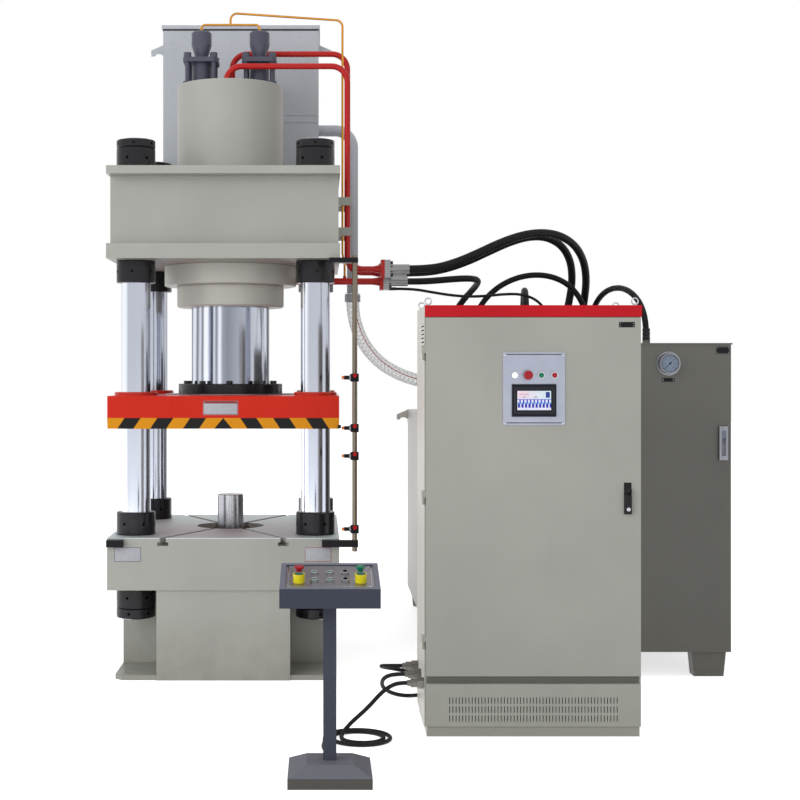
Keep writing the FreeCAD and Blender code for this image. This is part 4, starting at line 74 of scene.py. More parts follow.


# ---------------------------------------------------------------- routes of the hoses and cables
# Control points in millimetres, from fitting to fitting. The pedestal's cable has two
# lists, with its loops on the floor between them.

front_hose = [
    (961, -112, 2093), (1076.8, -112, 2093), (1206, -107, 2127), (1327, -97, 2179), (1443, -78, 2235),
    (1561, -48, 2279), (1678, -3, 2301), (1790, 56, 2291), (1883, 126, 2246), (1948, 215, 2171),
    (1980, 300, 2073), (1983, 375, 1961), (1971, 432, 1839), (1958, 470, 1711), (1958, 470, 1591),
]
rear_hose = [
    (961, 165, 2093), (1070.5, 165, 2093), (1194, 163, 2117), (1310, 160, 2159), (1422, 159, 2212),
    (1534, 165, 2263), (1647, 185, 2296), (1754, 224, 2294), (1842, 277, 2250), (1897, 334, 2170),
    (1915, 383, 2064), (1903, 419, 1947), (1877, 440, 1826), (1855, 450, 1700.5), (1855, 450, 1591),
]
fold_hose = [
    (961, 45, 2037), (1047.2, 45, 2037), (1147, 50, 2045), (1238, 75, 2054), (1312, 126, 2059),
    (1359, 203, 2056), (1369, 291, 2041), (1348, 375, 2010), (1306, 443, 1962), (1262, 488, 1895),
    (1228, 512, 1813), (1205, 521, 1721), (1193, 523, 1625), (1187, 522, 1527), (1185, 520, 1427.2),
    (1185, 520, 1341),
]
arc_hose = [
    (1330, 480, 1341), (1330, 480, 1460.7), (1331, 460, 1600), (1336, 429, 1732), (1358, 388, 1854),
    (1414, 342, 1959), (1506, 298, 2040), (1626, 272, 2086), (1755, 270, 2088), (1869, 284, 2044),
    (1949, 308, 1959), (1994, 345, 1846), (2010, 385, 1716), (2010, 385, 1591),
]
right_hose = [
    (2040, 545, 1591), (2040, 545, 1682.3), (2036, 506, 1780), (2033, 440, 1859), (2036, 356, 1919),
    (2047, 261, 1963), (2064, 162, 1991), (2087, 60, 2003), (2115, -43, 1996), (2146, -145, 1963),
    (2174, -232, 1896), (2189, -280, 1801.3), (2189, -280, 1710),
]
over_hose = [
    (1655, 400, 1341), (1655, 400, 1439), (1654, 387, 1554), (1653, 374, 1668), (1653, 379, 1779),
    (1657, 419, 1898), (1664, 496, 1992), (1672, 595, 2026), (1681, 694, 1993), (1688, 771, 1898),
    (1691, 812, 1779), (1692, 817, 1667), (1691, 804, 1554), (1690, 790, 1439), (1690, 790, 1341),
]
pilot_hose = [
    (898, 45, 1997), (987, 45, 1997), (1090, 42, 1979), (1191, 39, 1962), (1291, 39, 1954),
    (1389, 46, 1958), (1486, 63, 1969), (1578, 95, 1972), (1660, 141, 1952), (1722, 197, 1909),
    (1761, 262, 1846), (1781, 331, 1771), (1790, 385, 1680.8), (1790, 385, 1591),
]
clear_hose = [
    (675, 700, 2010), (675, 700, 1915.1), (698, 709, 1804), (746, 728, 1703), (817, 756, 1618),
    (907, 790, 1555), (1011, 824, 1511), (1121, 853, 1484), (1235.1, 870, 1470), (1330, 870, 1470),
]
cable_to_loops = [
    (855, -1728, 216), (824, -1728, 216), (791, -1727, 206), (758, -1725, 184), (728, -1722, 154),
    (702, -1720, 124), (674, -1717, 95), (646, -1716, 70), (621, -1722, 49), (600.5, -1739, 31.5),
    (584, -1766, 17), (574, -1802, 9),
]
loops_to_pedestal = [
    (504, -1879, 9), (502, -1926, 9.5), (498, -1973, 11), (499, -2021, 13), (505, -2068, 16),
    (514, -2115, 19), (521, -2166, 21), (521, -2210.5, 21),
]
low_cable = [
    (855, -1539, 216), (796.9, -1539, 216), (758, -1505, 187), (760, -1444, 140), (797, -1385, 103),
    (846, -1333, 79), (894, -1284, 66), (940, -1233, 59), (979, -1179, 54), (1013, -1122, 49),
    (1039, -1063, 42), (1060, -1002, 33), (1075, -939, 24), (1085, -876, 17), (1093, -797, 11),
    (1099, -700, 9), (1099, -588, 9), (1093, -474, 9), (1087, -362, 9), (1087, -256, 9.5),
    (1085, -170, 11), (1080, -101, 15), (1075, -36, 26), (1069, 26, 46), (1061, 86, 75), (1054, 144, 113),
    (1055, 199, 160), (1074, 250, 209), (1119.9, 285, 245), (1178, 285, 245),
]
rear_cable = [
    (855, -1350, 216), (800.2, -1350, 216), (760, -1308, 207), (769, -1237, 189), (829, -1175, 168),
    (896, -1135, 147), (954, -1100, 123), (1008, -1063, 98), (1058, -1020, 74), (1098, -968, 51),
    (1124, -909, 31), (1139, -845, 17.5), (1150, -768, 10.5), (1158, -670, 9), (1159, -560, 9),
    (1150, -445, 9), (1138, -335, 9), (1132, -235, 10.5), (1125, -143, 18), (1114, -63, 35),
    (1107, -6, 57), (1099, 48, 87), (1088, 98, 124), (1076, 143, 169), (1066, 185, 220), (1063, 225, 277),
    (1079, 262, 335), (1123.2, 285, 375), (1178, 285, 375),
]
HOSES = (
    # name, route, diameter, length, CAD node, stiffness, ends that stand upright on a port
    ("front_hose", front_hose, 43, 1802, "pressure_hoses", "stiff", (-1,)),
    ("rear_hose", rear_hose, 43, 1658, "pressure_hoses", "stiff", (-1,)),
    ("fold_hose", fold_hose, 36, 1388, "pressure_hoses", "medium", (-1,)),
    ("arc_hose", arc_hose, 32, 1662, "jumper_hoses", "medium", (0, -1)),
    ("right_hose", right_hose, 32, 1238, "jumper_hoses", "medium", (0, -1)),
    ("over_hose", over_hose, 38, 1570, "jumper_hoses", "medium", (0, -1)),
    ("pilot_hose_line", pilot_hose, 15, 1271, "pilot_hose", "medium", (-1,)),
)
CLEAR_HOSE = 76
CABLE = 18

LOOP_START = (574, -1838)
LOOP_RADII = (88, 109, 123, 137)
LOOP_HEIGHT = 9
POINTS_PER_HALF_TURN = 9


def floor_loops():
    """Control points of the loose loops on the floor, one half turn after another, widening."""
    points = []
    x, y = LOOP_START
    step = math.pi / POINTS_PER_HALF_TURN
    for i, radius in enumerate(LOOP_RADII):
        side = 1 if i % 2 == 0 else -1
        outer = radius / math.cos(step / 2)
        for k in range(POINTS_PER_HALF_TURN):
            angle = (k + 0.5) * step
            points.append((
                x + side * (radius - outer * math.cos(angle)),
                y - side * outer * math.sin(angle),
                LOOP_HEIGHT,
            ))
        x = x + 2 * side * radius
    return points


# ---------------------------------------------------------------- materials
# A tone of three numbers is a plain 0 to 255 screen colour.

NOISE_SPAN = (0.3, 0.7)


def colour(red, green, blue):
    """Linear colour of a plain 0 to 255 screen colour."""
    def linear(value):
        value = value / 255
        return value / 12.92 if value <= 0.04045 else ((value + 0.055) / 1.055) ** 2.4
    return (linear(red), linear(green), linear(blue), 1.0)


def darker(tone, factor):
    """Linear colour of a tone, scaled by a factor."""
    red, green, blue, _ = colour(*tone)
    return (red * factor, green * factor, blue * factor, 1.0)


def operation(kind):
    """The call of a Shader that makes one kind of math node."""
    def call(shader, first, second=0.0, clamp=False):
        return shader.math(kind, first, second, clamp)
    return call


class Shader:
    """A node material with short calls for the nodes it is built from."""

    plus, minus, times = map(operation, ("ADD", "SUBTRACT", "MULTIPLY"))
    above, below, larger = map(operation, ("GREATER_THAN", "LESS_THAN", "MAXIMUM"))
    absolute, fraction = map(operation, ("ABSOLUTE", "FRACT"))

    def __init__(self, name, metallic=0.0, gloss=0.5, **sockets):
        self.material = bpy.data.materials.new(name)
        self.material.use_nodes = True
        self.tree = self.material.node_tree
        self.surface = self.tree.nodes["Principled BSDF"]
        self.surface.inputs["Metallic"].default_value = metallic
        self.surface.inputs["Specular IOR Level"].default_value = gloss
        for socket, value in sockets.items():
            self.surface.inputs[socket.replace("_", " ")].default_value = value
        coordinates = self.add("ShaderNodeTexCoord")
        self.place = coordinates.outputs["Object"]
        self.along = coordinates.outputs["UV"]

    def add(self, kind, **settings):
        node = self.tree.nodes.new(kind)
        for key, value in settings.items():
            setattr(node, key, value)
        return node

    def feed(self, value, socket):
        """Links a socket to another, or sets it to a number, a tone or a linear colour."""
        if isinstance(value, bpy.types.NodeSocket):
            self.tree.links.new(value, socket)
        elif isinstance(value, tuple) and len(value) == 3:
            socket.default_value = colour(*value)
        else:
            socket.default_value = value

    def stretch(self, scale):
        """The place on the piece, scaled along each axis."""
        node = self.add("ShaderNodeMapping")
        self.feed(self.place, node.inputs["Vector"])
        node.inputs["Scale"].default_value = scale
        return node.outputs["Vector"]

    def parts(self, vector):
        node = self.add("ShaderNodeSeparateXYZ")
        self.feed(vector, node.inputs[0])
        return node.outputs[0], node.outputs[1], node.outputs[2]

    def normal(self, axis):
        """One part of the direction that the surface faces: 0 for x, 1 for y, 2 for z."""
        return self.parts(self.add("ShaderNodeNewGeometry").outputs["Normal"])[axis]

    def math(self, operation, first, second=0.0, clamp=False):
        node = self.add("ShaderNodeMath", operation=operation, use_clamp=clamp)
        self.feed(first, node.inputs[0])
        self.feed(second, node.inputs[1])
        return node.outputs[0]

    def all_of(self, *shares):
        return reduce(self.times, shares)

    def any_of(self, *shares):
        return reduce(self.larger, shares)

    def distance(self, first, second):
        """Length of the flat step with these two parts."""
        squares = [self.times(part, part) for part in (first, second)]
        return self.math("SQRT", self.plus(*squares))

    def inside(self, **ranges):
        """1 where each coordinate given is in its range, such as z=(low, high) in millimetres.

        None leaves a side of the range open.
        """
        coordinates = dict(zip("xyz", self.parts(self.place)))
        tests = []
        for axis, limits in ranges.items():
            for test, limit in zip((self.above, self.below), limits):
                if limit is not None:
                    tests.append(test(coordinates[axis], limit * MM))
        return self.all_of(*tests)

    def noise(self, scale, detail, vector=None):
        node = self.add("ShaderNodeTexNoise")
        self.feed(self.place if vector is None else vector, node.inputs["Vector"])
        node.inputs["Scale"].default_value = scale
        node.inputs["Detail"].default_value = detail
        return node.outputs["Fac"]

    def ramp(self, value, low, high, start=0.0, end=1.0):
        """Value rescaled from low..high to start..end, held at both ends."""
        node = self.add("ShaderNodeMapRange")
        for socket, item in zip(node.inputs[:5], (value, low, high, start, end)):
            self.feed(item, socket)
        return node.outputs[0]

    def cloud(self, scale, detail, start=0.0, end=1.0):
        """Noise that fills the range from start to end."""
        return self.ramp(self.noise(scale, detail), *NOISE_SPAN, start, end)

    def blend(self, share, first, second):
        node = self.add("ShaderNodeMix", data_type="RGBA")
        self.feed(share, node.inputs[0])
        self.feed(first, node.inputs[6])
        self.feed(second, node.inputs[7])
        return node.outputs[2]

    def bump(self, height, strength, distance):
        node = self.add("ShaderNodeBump")
        node.inputs["Strength"].default_value = strength
        node.inputs["Distance"].default_value = distance
        self.feed(height, node.inputs["Height"])
        self.feed(node.outputs[0], self.surface.inputs["Normal"])

    def paint(self, value):
        self.feed(value, self.surface.inputs["Base Color"])

    def polish(self, value):
        self.feed(value, self.surface.inputs["Roughness"])

    def emit(self, value, strength):
        self.feed(value, self.surface.inputs["Emission Color"])
        self.feed(strength, self.surface.inputs["Emission Strength"])

    def cover(self, share, tone, metallic=None, roughness=None):
        """Paints a second tone over the first, and metal or polish if given, where share is 1."""
        colour_socket = self.surface.inputs["Base Color"]
        self.paint(self.blend(share, colour_socket.links[0].from_socket, tone))
        for name, value in (("Metallic", metallic), ("Roughness", roughness)):
            if value is not None:
                socket = self.surface.inputs[name]
                old = socket.links[0].from_socket if socket.links else socket.default_value
                kept = self.times(self.minus(1.0, share), old)
                self.feed(self.plus(kept, self.times(share, value)), socket)
        return self


def enamel(name, tone, roughness=0.38, peel=0.05, dust=0.0, gloss=0.35):
    """Sprayed enamel: faint mottling, orange peel, and dust that settles near the floor."""
    shader = Shader(name, gloss=gloss)
    mottled = shader.blend(shader.cloud(2.2, 4), darker(tone, 0.93), darker(tone, 1.04))
    streak = shader.noise(9.0, 3, shader.stretch((1.0, 1.0, 0.12)))
    mottled = shader.blend(shader.ramp(streak, 0.55, 0.8, 0.0, 0.10), mottled, darker(tone, 0.72))
    if dust:
        height = shader.parts(shader.place)[2]
        grime = shader.times(shader.ramp(height, 0.0, DUST_TOP * MM, dust, 0.0), shader.noise(14.0, 5))
        mottled = shader.blend(grime, mottled, DUST)
    shader.paint(mottled)
    shader.polish(shader.cloud(30.0, 3, roughness - 0.05, roughness + 0.07))
    shader.bump(shader.noise(420.0, 1), peel, 0.0006)
    return shader


def metal(name, tone, roughness=0.3, grain=(1.0, 1.0, 0.02), depth=0.06, gloss=0.5):
    """Bare metal with a grain stretched along one direction."""
    shader = Shader(name, metallic=1.0, gloss=gloss)
    lines = shader.noise(260.0, 3, shader.stretch(grain))
    shader.paint(shader.blend(shader.cloud(5.0, 4), darker(tone, 0.85), tone))
    shader.polish(shader.ramp(lines, *NOISE_SPAN, roughness - 0.06, roughness + 0.1))
    shader.bump(lines, depth, 0.0004)
    return shader


def hard_chrome(name, centre_x, radius, bands):
    """Ground and chromed shaft: upright bands of painted reflection, lighter and darker, and fine grinding
    rings.

    Each painted reflection band has its place at its sideways distance from the shaft's axis, from -1 to 1.
    """
    shader = Shader(name, metallic=1.0)
    x = shader.parts(shader.place)[0]
    axis = shader.times(shader.math("SIGN", x), centre_x * MM)
    across = shader.math("DIVIDE", shader.minus(x, axis), radius * MM)
    waver = shader.noise(1.3, 2, shader.stretch((3.0, 3.0, 1.0)))
    across = shader.plus(across, shader.ramp(waver, *NOISE_SPAN, -0.015, 0.015))
    # The colour ramp paints the reflections as upright stripes, tinted a little blue.
    ramp = shader.add("ShaderNodeValToRGB")
    shader.feed(shader.ramp(across, -1.0, 1.0), ramp.inputs[0])
    stops = ramp.color_ramp.elements
    for i, (place, level) in enumerate(bands):
        stop = stops[i] if i < 2 else stops.new(0.5)
        stop.position = (place + 1) / 2
        stop.color = colour(level - 4, level, min(level + 12, 255))
    rings = shader.noise(900.0, 2, shader.stretch((0.02, 0.02, 1.0)))
    shader.paint(ramp.outputs[0])
    shader.polish(shader.ramp(rings, *NOISE_SPAN, 0.09, 0.17))
    shader.bump(rings, 0.03, 0.0002)
    return shader


def plastic(name, tone, roughness=0.32, gloss=0.5):
    """Moulded plastic with a faint grain."""
    shader = Shader(name, gloss=gloss)
    shader.paint(shader.blend(shader.cloud(60.0, 3), darker(tone, 0.88), tone))
    shader.polish(shader.cloud(140.0, 2, roughness - 0.05, roughness + 0.08))
    shader.bump(shader.noise(700.0, 1), 0.04, 0.0003)
    return shader


def rubber(name, tone, weave=0.0):
    """Black cover with a worn grey haze; a weave adds the print of the cloth that it was cured in."""
    shader = Shader(name, gloss=0.2)
    haze = shader.ramp(shader.noise(7.0, 5), 0.45, 0.75, 0.0, 0.3)
    shader.paint(shader.blend(haze, tone, darker(tone, 2.2)))
    shader.polish(shader.cloud(25.0, 3, 0.42, 0.62))
    fine = shader.noise(520.0, 2)
    if weave:
        cloth = shader.add("ShaderNodeTexWave", wave_type="BANDS", bands_direction="DIAGONAL")
        shader.feed(shader.place, cloth.inputs["Vector"])
        cloth.inputs["Scale"].default_value = weave
        fine = shader.plus(fine, shader.times(cloth.outputs["Fac"], 0.8))
    shader.bump(fine, 0.12, 0.0006)
    return shader


def clear_pvc():
    """Clear hose wall with its two crossed layers of white thread, and one red marking line."""
    shader = Shader("clear_pvc", IOR=1.45, Coat_Weight=0.5, Coat_Roughness=0.08)
    along, around, _ = shader.parts(shader.along)
    lengthwise = shader.times(along, 34.0)
    threads = []
    for turn in (5.0, -5.0):
        phase = shader.plus(lengthwise, shader.times(around, turn))
        distance = shader.absolute(shader.minus(shader.fraction(phase), 0.5))
        threads.append(shader.ramp(distance, 0.05, 0.12, 1.0, 0.0))
    mesh_share = shader.any_of(*threads)
    offset = shader.absolute(shader.minus(around, 0.62))
    red_line = shader.ramp(offset, 0.008, 0.016, 1.0, 0.0)
    haze = shader.cloud(16.0, 4)
    body = shader.blend(haze, (196, 200, 200), (226, 228, 228))
    threaded = shader.blend(mesh_share, body, (246, 247, 247))
    shader.paint(shader.blend(red_line, threaded, (190, 60, 60)))
    rim = shader.add("ShaderNodeLayerWeight")
    rim.inputs["Blend"].default_value = 0.35
    wall = shader.ramp(rim.outputs["Facing"], 0.0, 0.9, 0.22, 0.75)
    solid = shader.plus(wall, shader.times(mesh_share, 0.4), clamp=True)
    shader.feed(shader.any_of(solid, red_line), shader.surface.inputs["Alpha"])
    shader.polish(shader.ramp(haze, 0.0, 1.0, 0.08, 0.2))
    shader.bump(mesh_share, 0.25, 0.0008)
    return shader


GREY = (168, 168, 161)
BLACK_STEEL = (27, 26, 30)
STEEL = (150, 149, 152)
CHROME = (206, 208, 214)
DUST = (96, 88, 74)
DUST_TOP = 350
EVEN = (1.0, 1.0, 1.0)
BRUSHED = (0.03, 1.0, 1.0)

black_oxide = enamel("black_oxide", BLACK_STEEL, roughness=0.24, peel=0.1, gloss=0.28)
zinc = metal("zinc", STEEL, roughness=0.32, grain=EVEN)
bright_ring = metal("bright_ring", (196, 198, 204), roughness=0.16, grain=EVEN)
black_plastic = plastic("black_plastic", (22, 22, 24), roughness=0.28, gloss=0.2)
grey_plastic = plastic("grey_plastic", (62, 66, 72), roughness=0.4)
palm_green = plastic("palm_green", (22, 84, 76), roughness=0.36, gloss=0.35)
hose_rubber = rubber("hose_rubber", (14, 14, 15), weave=60.0)
cable_rubber = rubber("cable_rubber", (20, 20, 22))
label_white = plastic("label_white", (176, 178, 184), roughness=0.4)
label_grey = plastic("label_grey", (82, 82, 88), roughness=0.4)
label_red = plastic("label_red", (142, 24, 30), roughness=0.4)
label_black = plastic("label_black", (22, 22, 24), roughness=0.4, gloss=0.15)


# ---------------------------------------------------------------- materials that change over a piece

SKIN = 0.5  # how far a mask's edge stands off the face that it follows
SPOT_FACE = 3


def table_material():
    """Painted sides, and a machined top with its slots and spot faces."""
    shader = enamel("table_paint", GREY)
    top = box_mm("bed_table")[1][2]
    return shader.cover(shader.inside(z=(top - SPOT_FACE, None)), (206, 218, 220), 0.7, 0.55)


TAPE_HEIGHT = 54
BAR_LEAN = 36 / TAPE_HEIGHT
BAR_PITCH = 164
BAR_WIDTH = 81
FIRST_BAR = 85
TRIANGLE_LEAN = 46 / TAPE_HEIGHT
PAD_EDGE = 4


def slide_material():
    """Gloss red, a steel pad on top, and black and yellow tape along the lower edge, front and back."""
    low, high = box_mm("slide_platen")
    tape_top = low[2] + TAPE_HEIGHT
    shader = enamel("slide_paint", (204, 34, 10), roughness=0.3, gloss=0.2)
    x, y, z = shader.parts(shader.place)
    at_face = shader.above(shader.absolute(y), (high[1] - SKIN) * MM)
    tape = shader.all_of(at_face, shader.inside(z=(None, tape_top)))
    reach = shader.absolute(x)
    depth = shader.minus(tape_top * MM, z)
    run = shader.minus(shader.minus(reach, shader.times(depth, BAR_LEAN)), FIRST_BAR * MM)
    in_bar = shader.below(shader.math("MODULO", run, BAR_PITCH * MM), BAR_WIDTH * MM)
    bars = shader.all_of(shader.above(run, 0.0), in_bar)
    middle = shader.below(reach, shader.times(depth, TRIANGLE_LEAN))
    beside, before = shader.inside(x=(SKIN - low[0], None)), shader.inside(y=(None, -high[1] - SKIN))
    shader.cover(tape, (216, 141, 4))
    shader.cover(shader.all_of(tape, shader.any_of(bars, middle)), (14, 13, 13))
    shader.cover(shader.any_of(beside, before), BLACK_STEEL)
    return shader.cover(shader.inside(z=(high[2] - PAD_EDGE, None)), STEEL, 1.0, 0.4)


BAR_SIDE = 31
ARM_LEVELS = ((672, 706), (2087, 2112))


def bar_material():
    """Drawn steel bar, with its two black arms and the black spare arm."""
    shader = metal("bar_steel", (128, 118, 104), roughness=0.32, gloss=0.12)
    beside = box_mm("switch_bar")[1][0] - BAR_SIDE
    arms = [shader.inside(z=(low - SKIN, high + SKIN)) for low, high in ARM_LEVELS]
    return shader.cover(shader.any_of(shader.inside(x=(None, beside)), *arms), BLACK_STEEL, 0.0, 0.35)


SWITCH_BLOCK = 40
SWITCH_NUT = (6.8, 0.2)
SWITCH_TIP = 12
SWITCH_KNOB = 13.8


def switch_material():
    """Black housing and barrel, steel nut, copper tip and red knob."""
    low, high = box_mm("limit_switches")
    housing = high[0] - SWITCH_BLOCK
    shader = plastic("switch_black", (20, 20, 22), roughness=0.34, gloss=0.12)
    shader.cover(shader.inside(x=(housing - SWITCH_NUT[0], housing - SWITCH_NUT[1])), STEEL, 1.0, 0.3)
    shader.cover(shader.inside(x=(None, low[0] + SWITCH_TIP)), (206, 112, 58), 1.0, 0.3)
    return shader.cover(shader.inside(y=(None, low[1] + SWITCH_KNOB)), (178, 26, 30), 0.0, 0.3)


FACING = 0.7  # a face looks along an axis when this much of its direction is along it
# Band of painted shade in the gap between the door and the vent panel.
GAP_SHADE_X = (935, 1835)
GAP_SHADE_Z = (224, 255)
GAP_SHADE_DEPTH = 80


def shell_material():
    """Pale frame and panels, with painted shade darker on the faces that look forward, and in the gap
    between the door and the vent panel.
    """
    shader = enamel("shell_paint", (220, 217, 210), roughness=0.42, peel=0.16, dust=0.25)
    # Painted shade: faces that look forward are darker than the lit sides.
    shader.cover(shader.below(shader.normal(1), -FACING), (152, 151, 143))
    front = box_mm("cabinet_shell")[0][1]
    # Painted shade in the gap between the door and the vent panel.
    gap_shade = shader.inside(x=GAP_SHADE_X, y=(None, front + GAP_SHADE_DEPTH), z=GAP_SHADE_Z)
    return shader.cover(gap_shade, (98, 97, 93))


LID_SHEET = 21


def lid_material():
    """Grey lid over its dark gasket and shadow gap."""
    shader = enamel("lid_paint", (186, 189, 197), roughness=0.3)
    top = box_mm("overhead_tank_lid")[1][2]
    return shader.cover(shader.inside(z=(None, top - LID_SHEET)), (62, 64, 66))


def console_material():
    """Blue-grey box, with painted light making the rim that faces up paler."""
    shader = enamel("console_paint", (58, 62, 74), roughness=0.5, gloss=0.16)
    # Painted light: faces that look up are paler.
    return shader.cover(shader.above(shader.normal(2), FACING), (112, 114, 127))


SKIRT_TOP = 40.2
FOOT_TOP = 75.2


def stand_material():
    """Blue-grey post on a foot painted paler, as light from above, and painted darker as shade round its
    skirt.
    """
    shader = enamel("stand_paint", (66, 69, 80), roughness=0.6, gloss=0.15)
    # Painted light: the foot paler, as if lit from above.
    shader.cover(shader.inside(z=(None, FOOT_TOP)), (112, 113, 121))
    # Painted shade: the skirt darker.
    return shader.cover(shader.inside(z=(None, SKIRT_TOP)), (84, 82, 79))


FLANGE_THICKNESS = 30
FERRULE_REACH = 30


def fitting_material():
    """Zinc flanges and fluted ferrules, with black bolts."""
    shader = metal("fitting_zinc", (150, 150, 152), roughness=0.3, grain=(0.02, 1.0, 1.0), depth=0.2)
    back = box_mm("hose_fittings")[0][0] + FLANGE_THICKNESS
    _, y, z = shader.parts(shader.place)
    bolts = shader.inside(x=(back + SKIN, None))
    for hose in (front_hose, rear_hose, fold_hose):
        _, middle_y, middle_z = hose[0]
        distance = shader.distance(shader.minus(y, middle_y * MM), shader.minus(z, middle_z * MM))
        bolts = shader.all_of(bolts, shader.above(distance, FERRULE_REACH * MM))
    return shader.cover(bolts, BLACK_STEEL, 0.3, 0.34)


# Places on the sloping console: u to the right, v up the slope, n out of its face.
CONSOLE_LIP = 72
PLATE_LEVEL = -4
GUARD_START = 90
GUARD_TOP = 143
console_low, console_high = box_mm("pedestal_console")
console_middle = (console_low[0] + console_high[0]) / 2
CONSOLE_FRONT = Vector((console_middle, console_low[1], console_low[2] + CONSOLE_LIP))
CONSOLE_SLOPE = math.atan2(console_high[2] - CONSOLE_FRONT.z, console_high[1] - CONSOLE_FRONT.y)
CONSOLE = Matrix.Translation(CONSOLE_FRONT) @ Matrix.Rotation(CONSOLE_SLOPE, 4, "X")


def console_plate_material():
    """Brushed plate, chromed rings, and yellow guards round the two palm buttons."""
    shader = metal("panel_steel", (150, 147, 152), roughness=0.36, grain=BRUSHED)
    x, y, z = shader.parts(shader.place)
    back = shader.minus(y, CONSOLE_FRONT.y * MM)
    rise = shader.minus(z, CONSOLE_FRONT.z * MM)
    cosine, sine = math.cos(CONSOLE_SLOPE), math.sin(CONSOLE_SLOPE)
    v = shader.plus(shader.times(back, cosine), shader.times(rise, sine))
    n = shader.minus(shader.times(rise, cosine), shader.times(back, sine))
    rings = shader.above(n, (PLATE_LEVEL + SKIN) * MM)
    aside = shader.absolute(shader.minus(x, CONSOLE_FRONT.x * MM))
    guards = shader.all_of(shader.above(aside, GUARD_START * MM), shader.below(v, GUARD_TOP * MM), rings)
    shader.cover(rings, CHROME, 1.0, 0.14)
    return shader.cover(guards, (222, 208, 24), 0.0, 0.3)


# The door's face, the operator panel on it and the panel's row of buttons.
DOOR_FACE = box_mm("cabinet_door")[0][1]
PLATE_FRONT = DOOR_FACE - 4
CASE_FRONT = PLATE_FRONT - 7
BUTTON_LEVEL = 1527
RING_REACH = 16
PLATE_SKIN = 0.3


def operator_material():
    """Brushed plate, dark screen case and chromed button rings."""
    shader = metal("panel_silver", (168, 172, 187), roughness=0.42, grain=BRUSHED, gloss=0.12)
    proud = (None, PLATE_FRONT - PLATE_SKIN)
    case = shader.inside(y=proud, z=(None, BUTTON_LEVEL - 2 * RING_REACH))
    rings = shader.inside(y=proud, z=(BUTTON_LEVEL - RING_REACH, BUTTON_LEVEL + RING_REACH))
    shader.cover(case, (28, 29, 37), 0.0, 0.4)
    return shader.cover(rings, CHROME, 1.0, 0.16)


def latch_material():
    """Zinc plated shaft and cam, with the black fork of the handle in front."""
    shader = metal("latch_zinc", STEEL, roughness=0.32, grain=EVEN, gloss=0.2)
    return shader.cover(shader.inside(y=(None, DOOR_FACE - SKIN)), BLACK_STEEL, 0.0, 0.4)


# ---------------------------------------------------------------- materials of the CAD nodes

COLUMN_CENTRE = 460
COLUMN_RADIUS = 75
RAM_RADIUS = 210
# Painted reflections on the chrome: each band's place across the shaft, and its brightness.
COLUMN_REFLECTION_BANDS = ((-1.0, 190), (1.0, 150), (-0.85, 248), (-0.6, 246), (-0.42, 190), (0.1, 184), (0.3, 214),
                (0.5, 196), (0.72, 232), (0.88, 196))
RAM_REFLECTION_BANDS = ((-1.0, 110), (1.0, 96), (-0.93, 206), (-0.87, 236), (-0.8, 112), (-0.72, 226), (-0.66, 116),
             (-0.6, 250), (-0.46, 240), (-0.42, 116), (-0.36, 222), (-0.3, 132), (-0.22, 244), (-0.14, 156),
             (-0.02, 140), (0.2, 152), (0.34, 124), (0.4, 204), (0.46, 250), (0.53, 88), (0.6, 206),
             (0.67, 72), (0.74, 180), (0.8, 78), (0.87, 158), (0.94, 214))


def dress(names, shader):
    """Gives CAD nodes, named in one text, their material."""
    for name in names.split():
        for slot in nodes[name].material_slots:
            slot.material = shader.material


dress("bed_base upper_crosshead cylinder_barrel ejector_cylinder pipe_brackets",
      enamel("machine_grey", GREY, dust=0.5))
dress("bed_table", table_material())
dress("columns", hard_chrome("column_chrome", COLUMN_CENTRE, COLUMN_RADIUS, COLUMN_REFLECTION_BANDS))
dress("ram", hard_chrome("ram_chrome", 0, RAM_RADIUS, RAM_REFLECTION_BANDS))
dress("column_nuts ram_clamp", black_oxide)
# Painted light: the ring nut and gland get a lighter, glossier grey than the machine's, in place of light
# under the crosshead's shadow.
dress("cylinder_ring_nut cylinder_gland", enamel("cylinder_grey_painted_lit", (192, 192, 184), gloss=0.5))
dress("slide_platen", slide_material())
dress("guide_bushes", enamel("bush_red", (196, 46, 28), roughness=0.3, gloss=0.25))
dress("ejector_rod", metal("rod_steel", (184, 184, 190), roughness=0.24, grain=(1.0, 1.0, 0.03)))
dress("prefill_valves", enamel("valve_gunmetal", (76, 78, 92), peel=0.35))
dress("overhead_tank return_pipe", enamel("tank_grey", (184, 188, 194), roughness=0.3))
dress("overhead_tank_lid", lid_material())
dress("pressure_pipes", enamel("pipe_red", (186, 28, 24), roughness=0.28, gloss=0.3))
dress("pilot_pipe", metal("copper_tube", (214, 148, 58), roughness=0.26))
dress("hose_fittings", fitting_material())
dress("switch_bar", bar_material())
dress("limit_switches", switch_material())
dress("pedestal_stand", stand_material())
dress("pedestal_console", console_material())
dress("pedestal_panel", console_plate_material())
dress("button_emergency door_button_stop door_button_red",
      plastic("red_plastic", (164, 16, 32), gloss=0.35))
dress("button_back_left button_back_middle button_front_left button_front_middle button_mushroom_green "
      "palm_button_left palm_button_right door_button_green",
      plastic("green_plastic", (0, 118, 86), gloss=0.35))
dress("selector_back selector_front door_handle_lever", black_plastic)
dress("cabinet_shell", shell_material())
dress("cabinet_header", enamel("header_red", (192, 20, 32), roughness=0.3, gloss=0.15))
dress("cabinet_door cabinet_vent_panel",
      enamel("cabinet_grey", (164, 164, 156), roughness=0.42, peel=0.16, dust=0.25))
dress("cabinet_electrics", grey_plastic)
dress("cable_glands", metal("nickel", (116, 113, 108), roughness=0.26, grain=EVEN))
dress("operator_panel", operator_material())
dress("door_latch", latch_material())
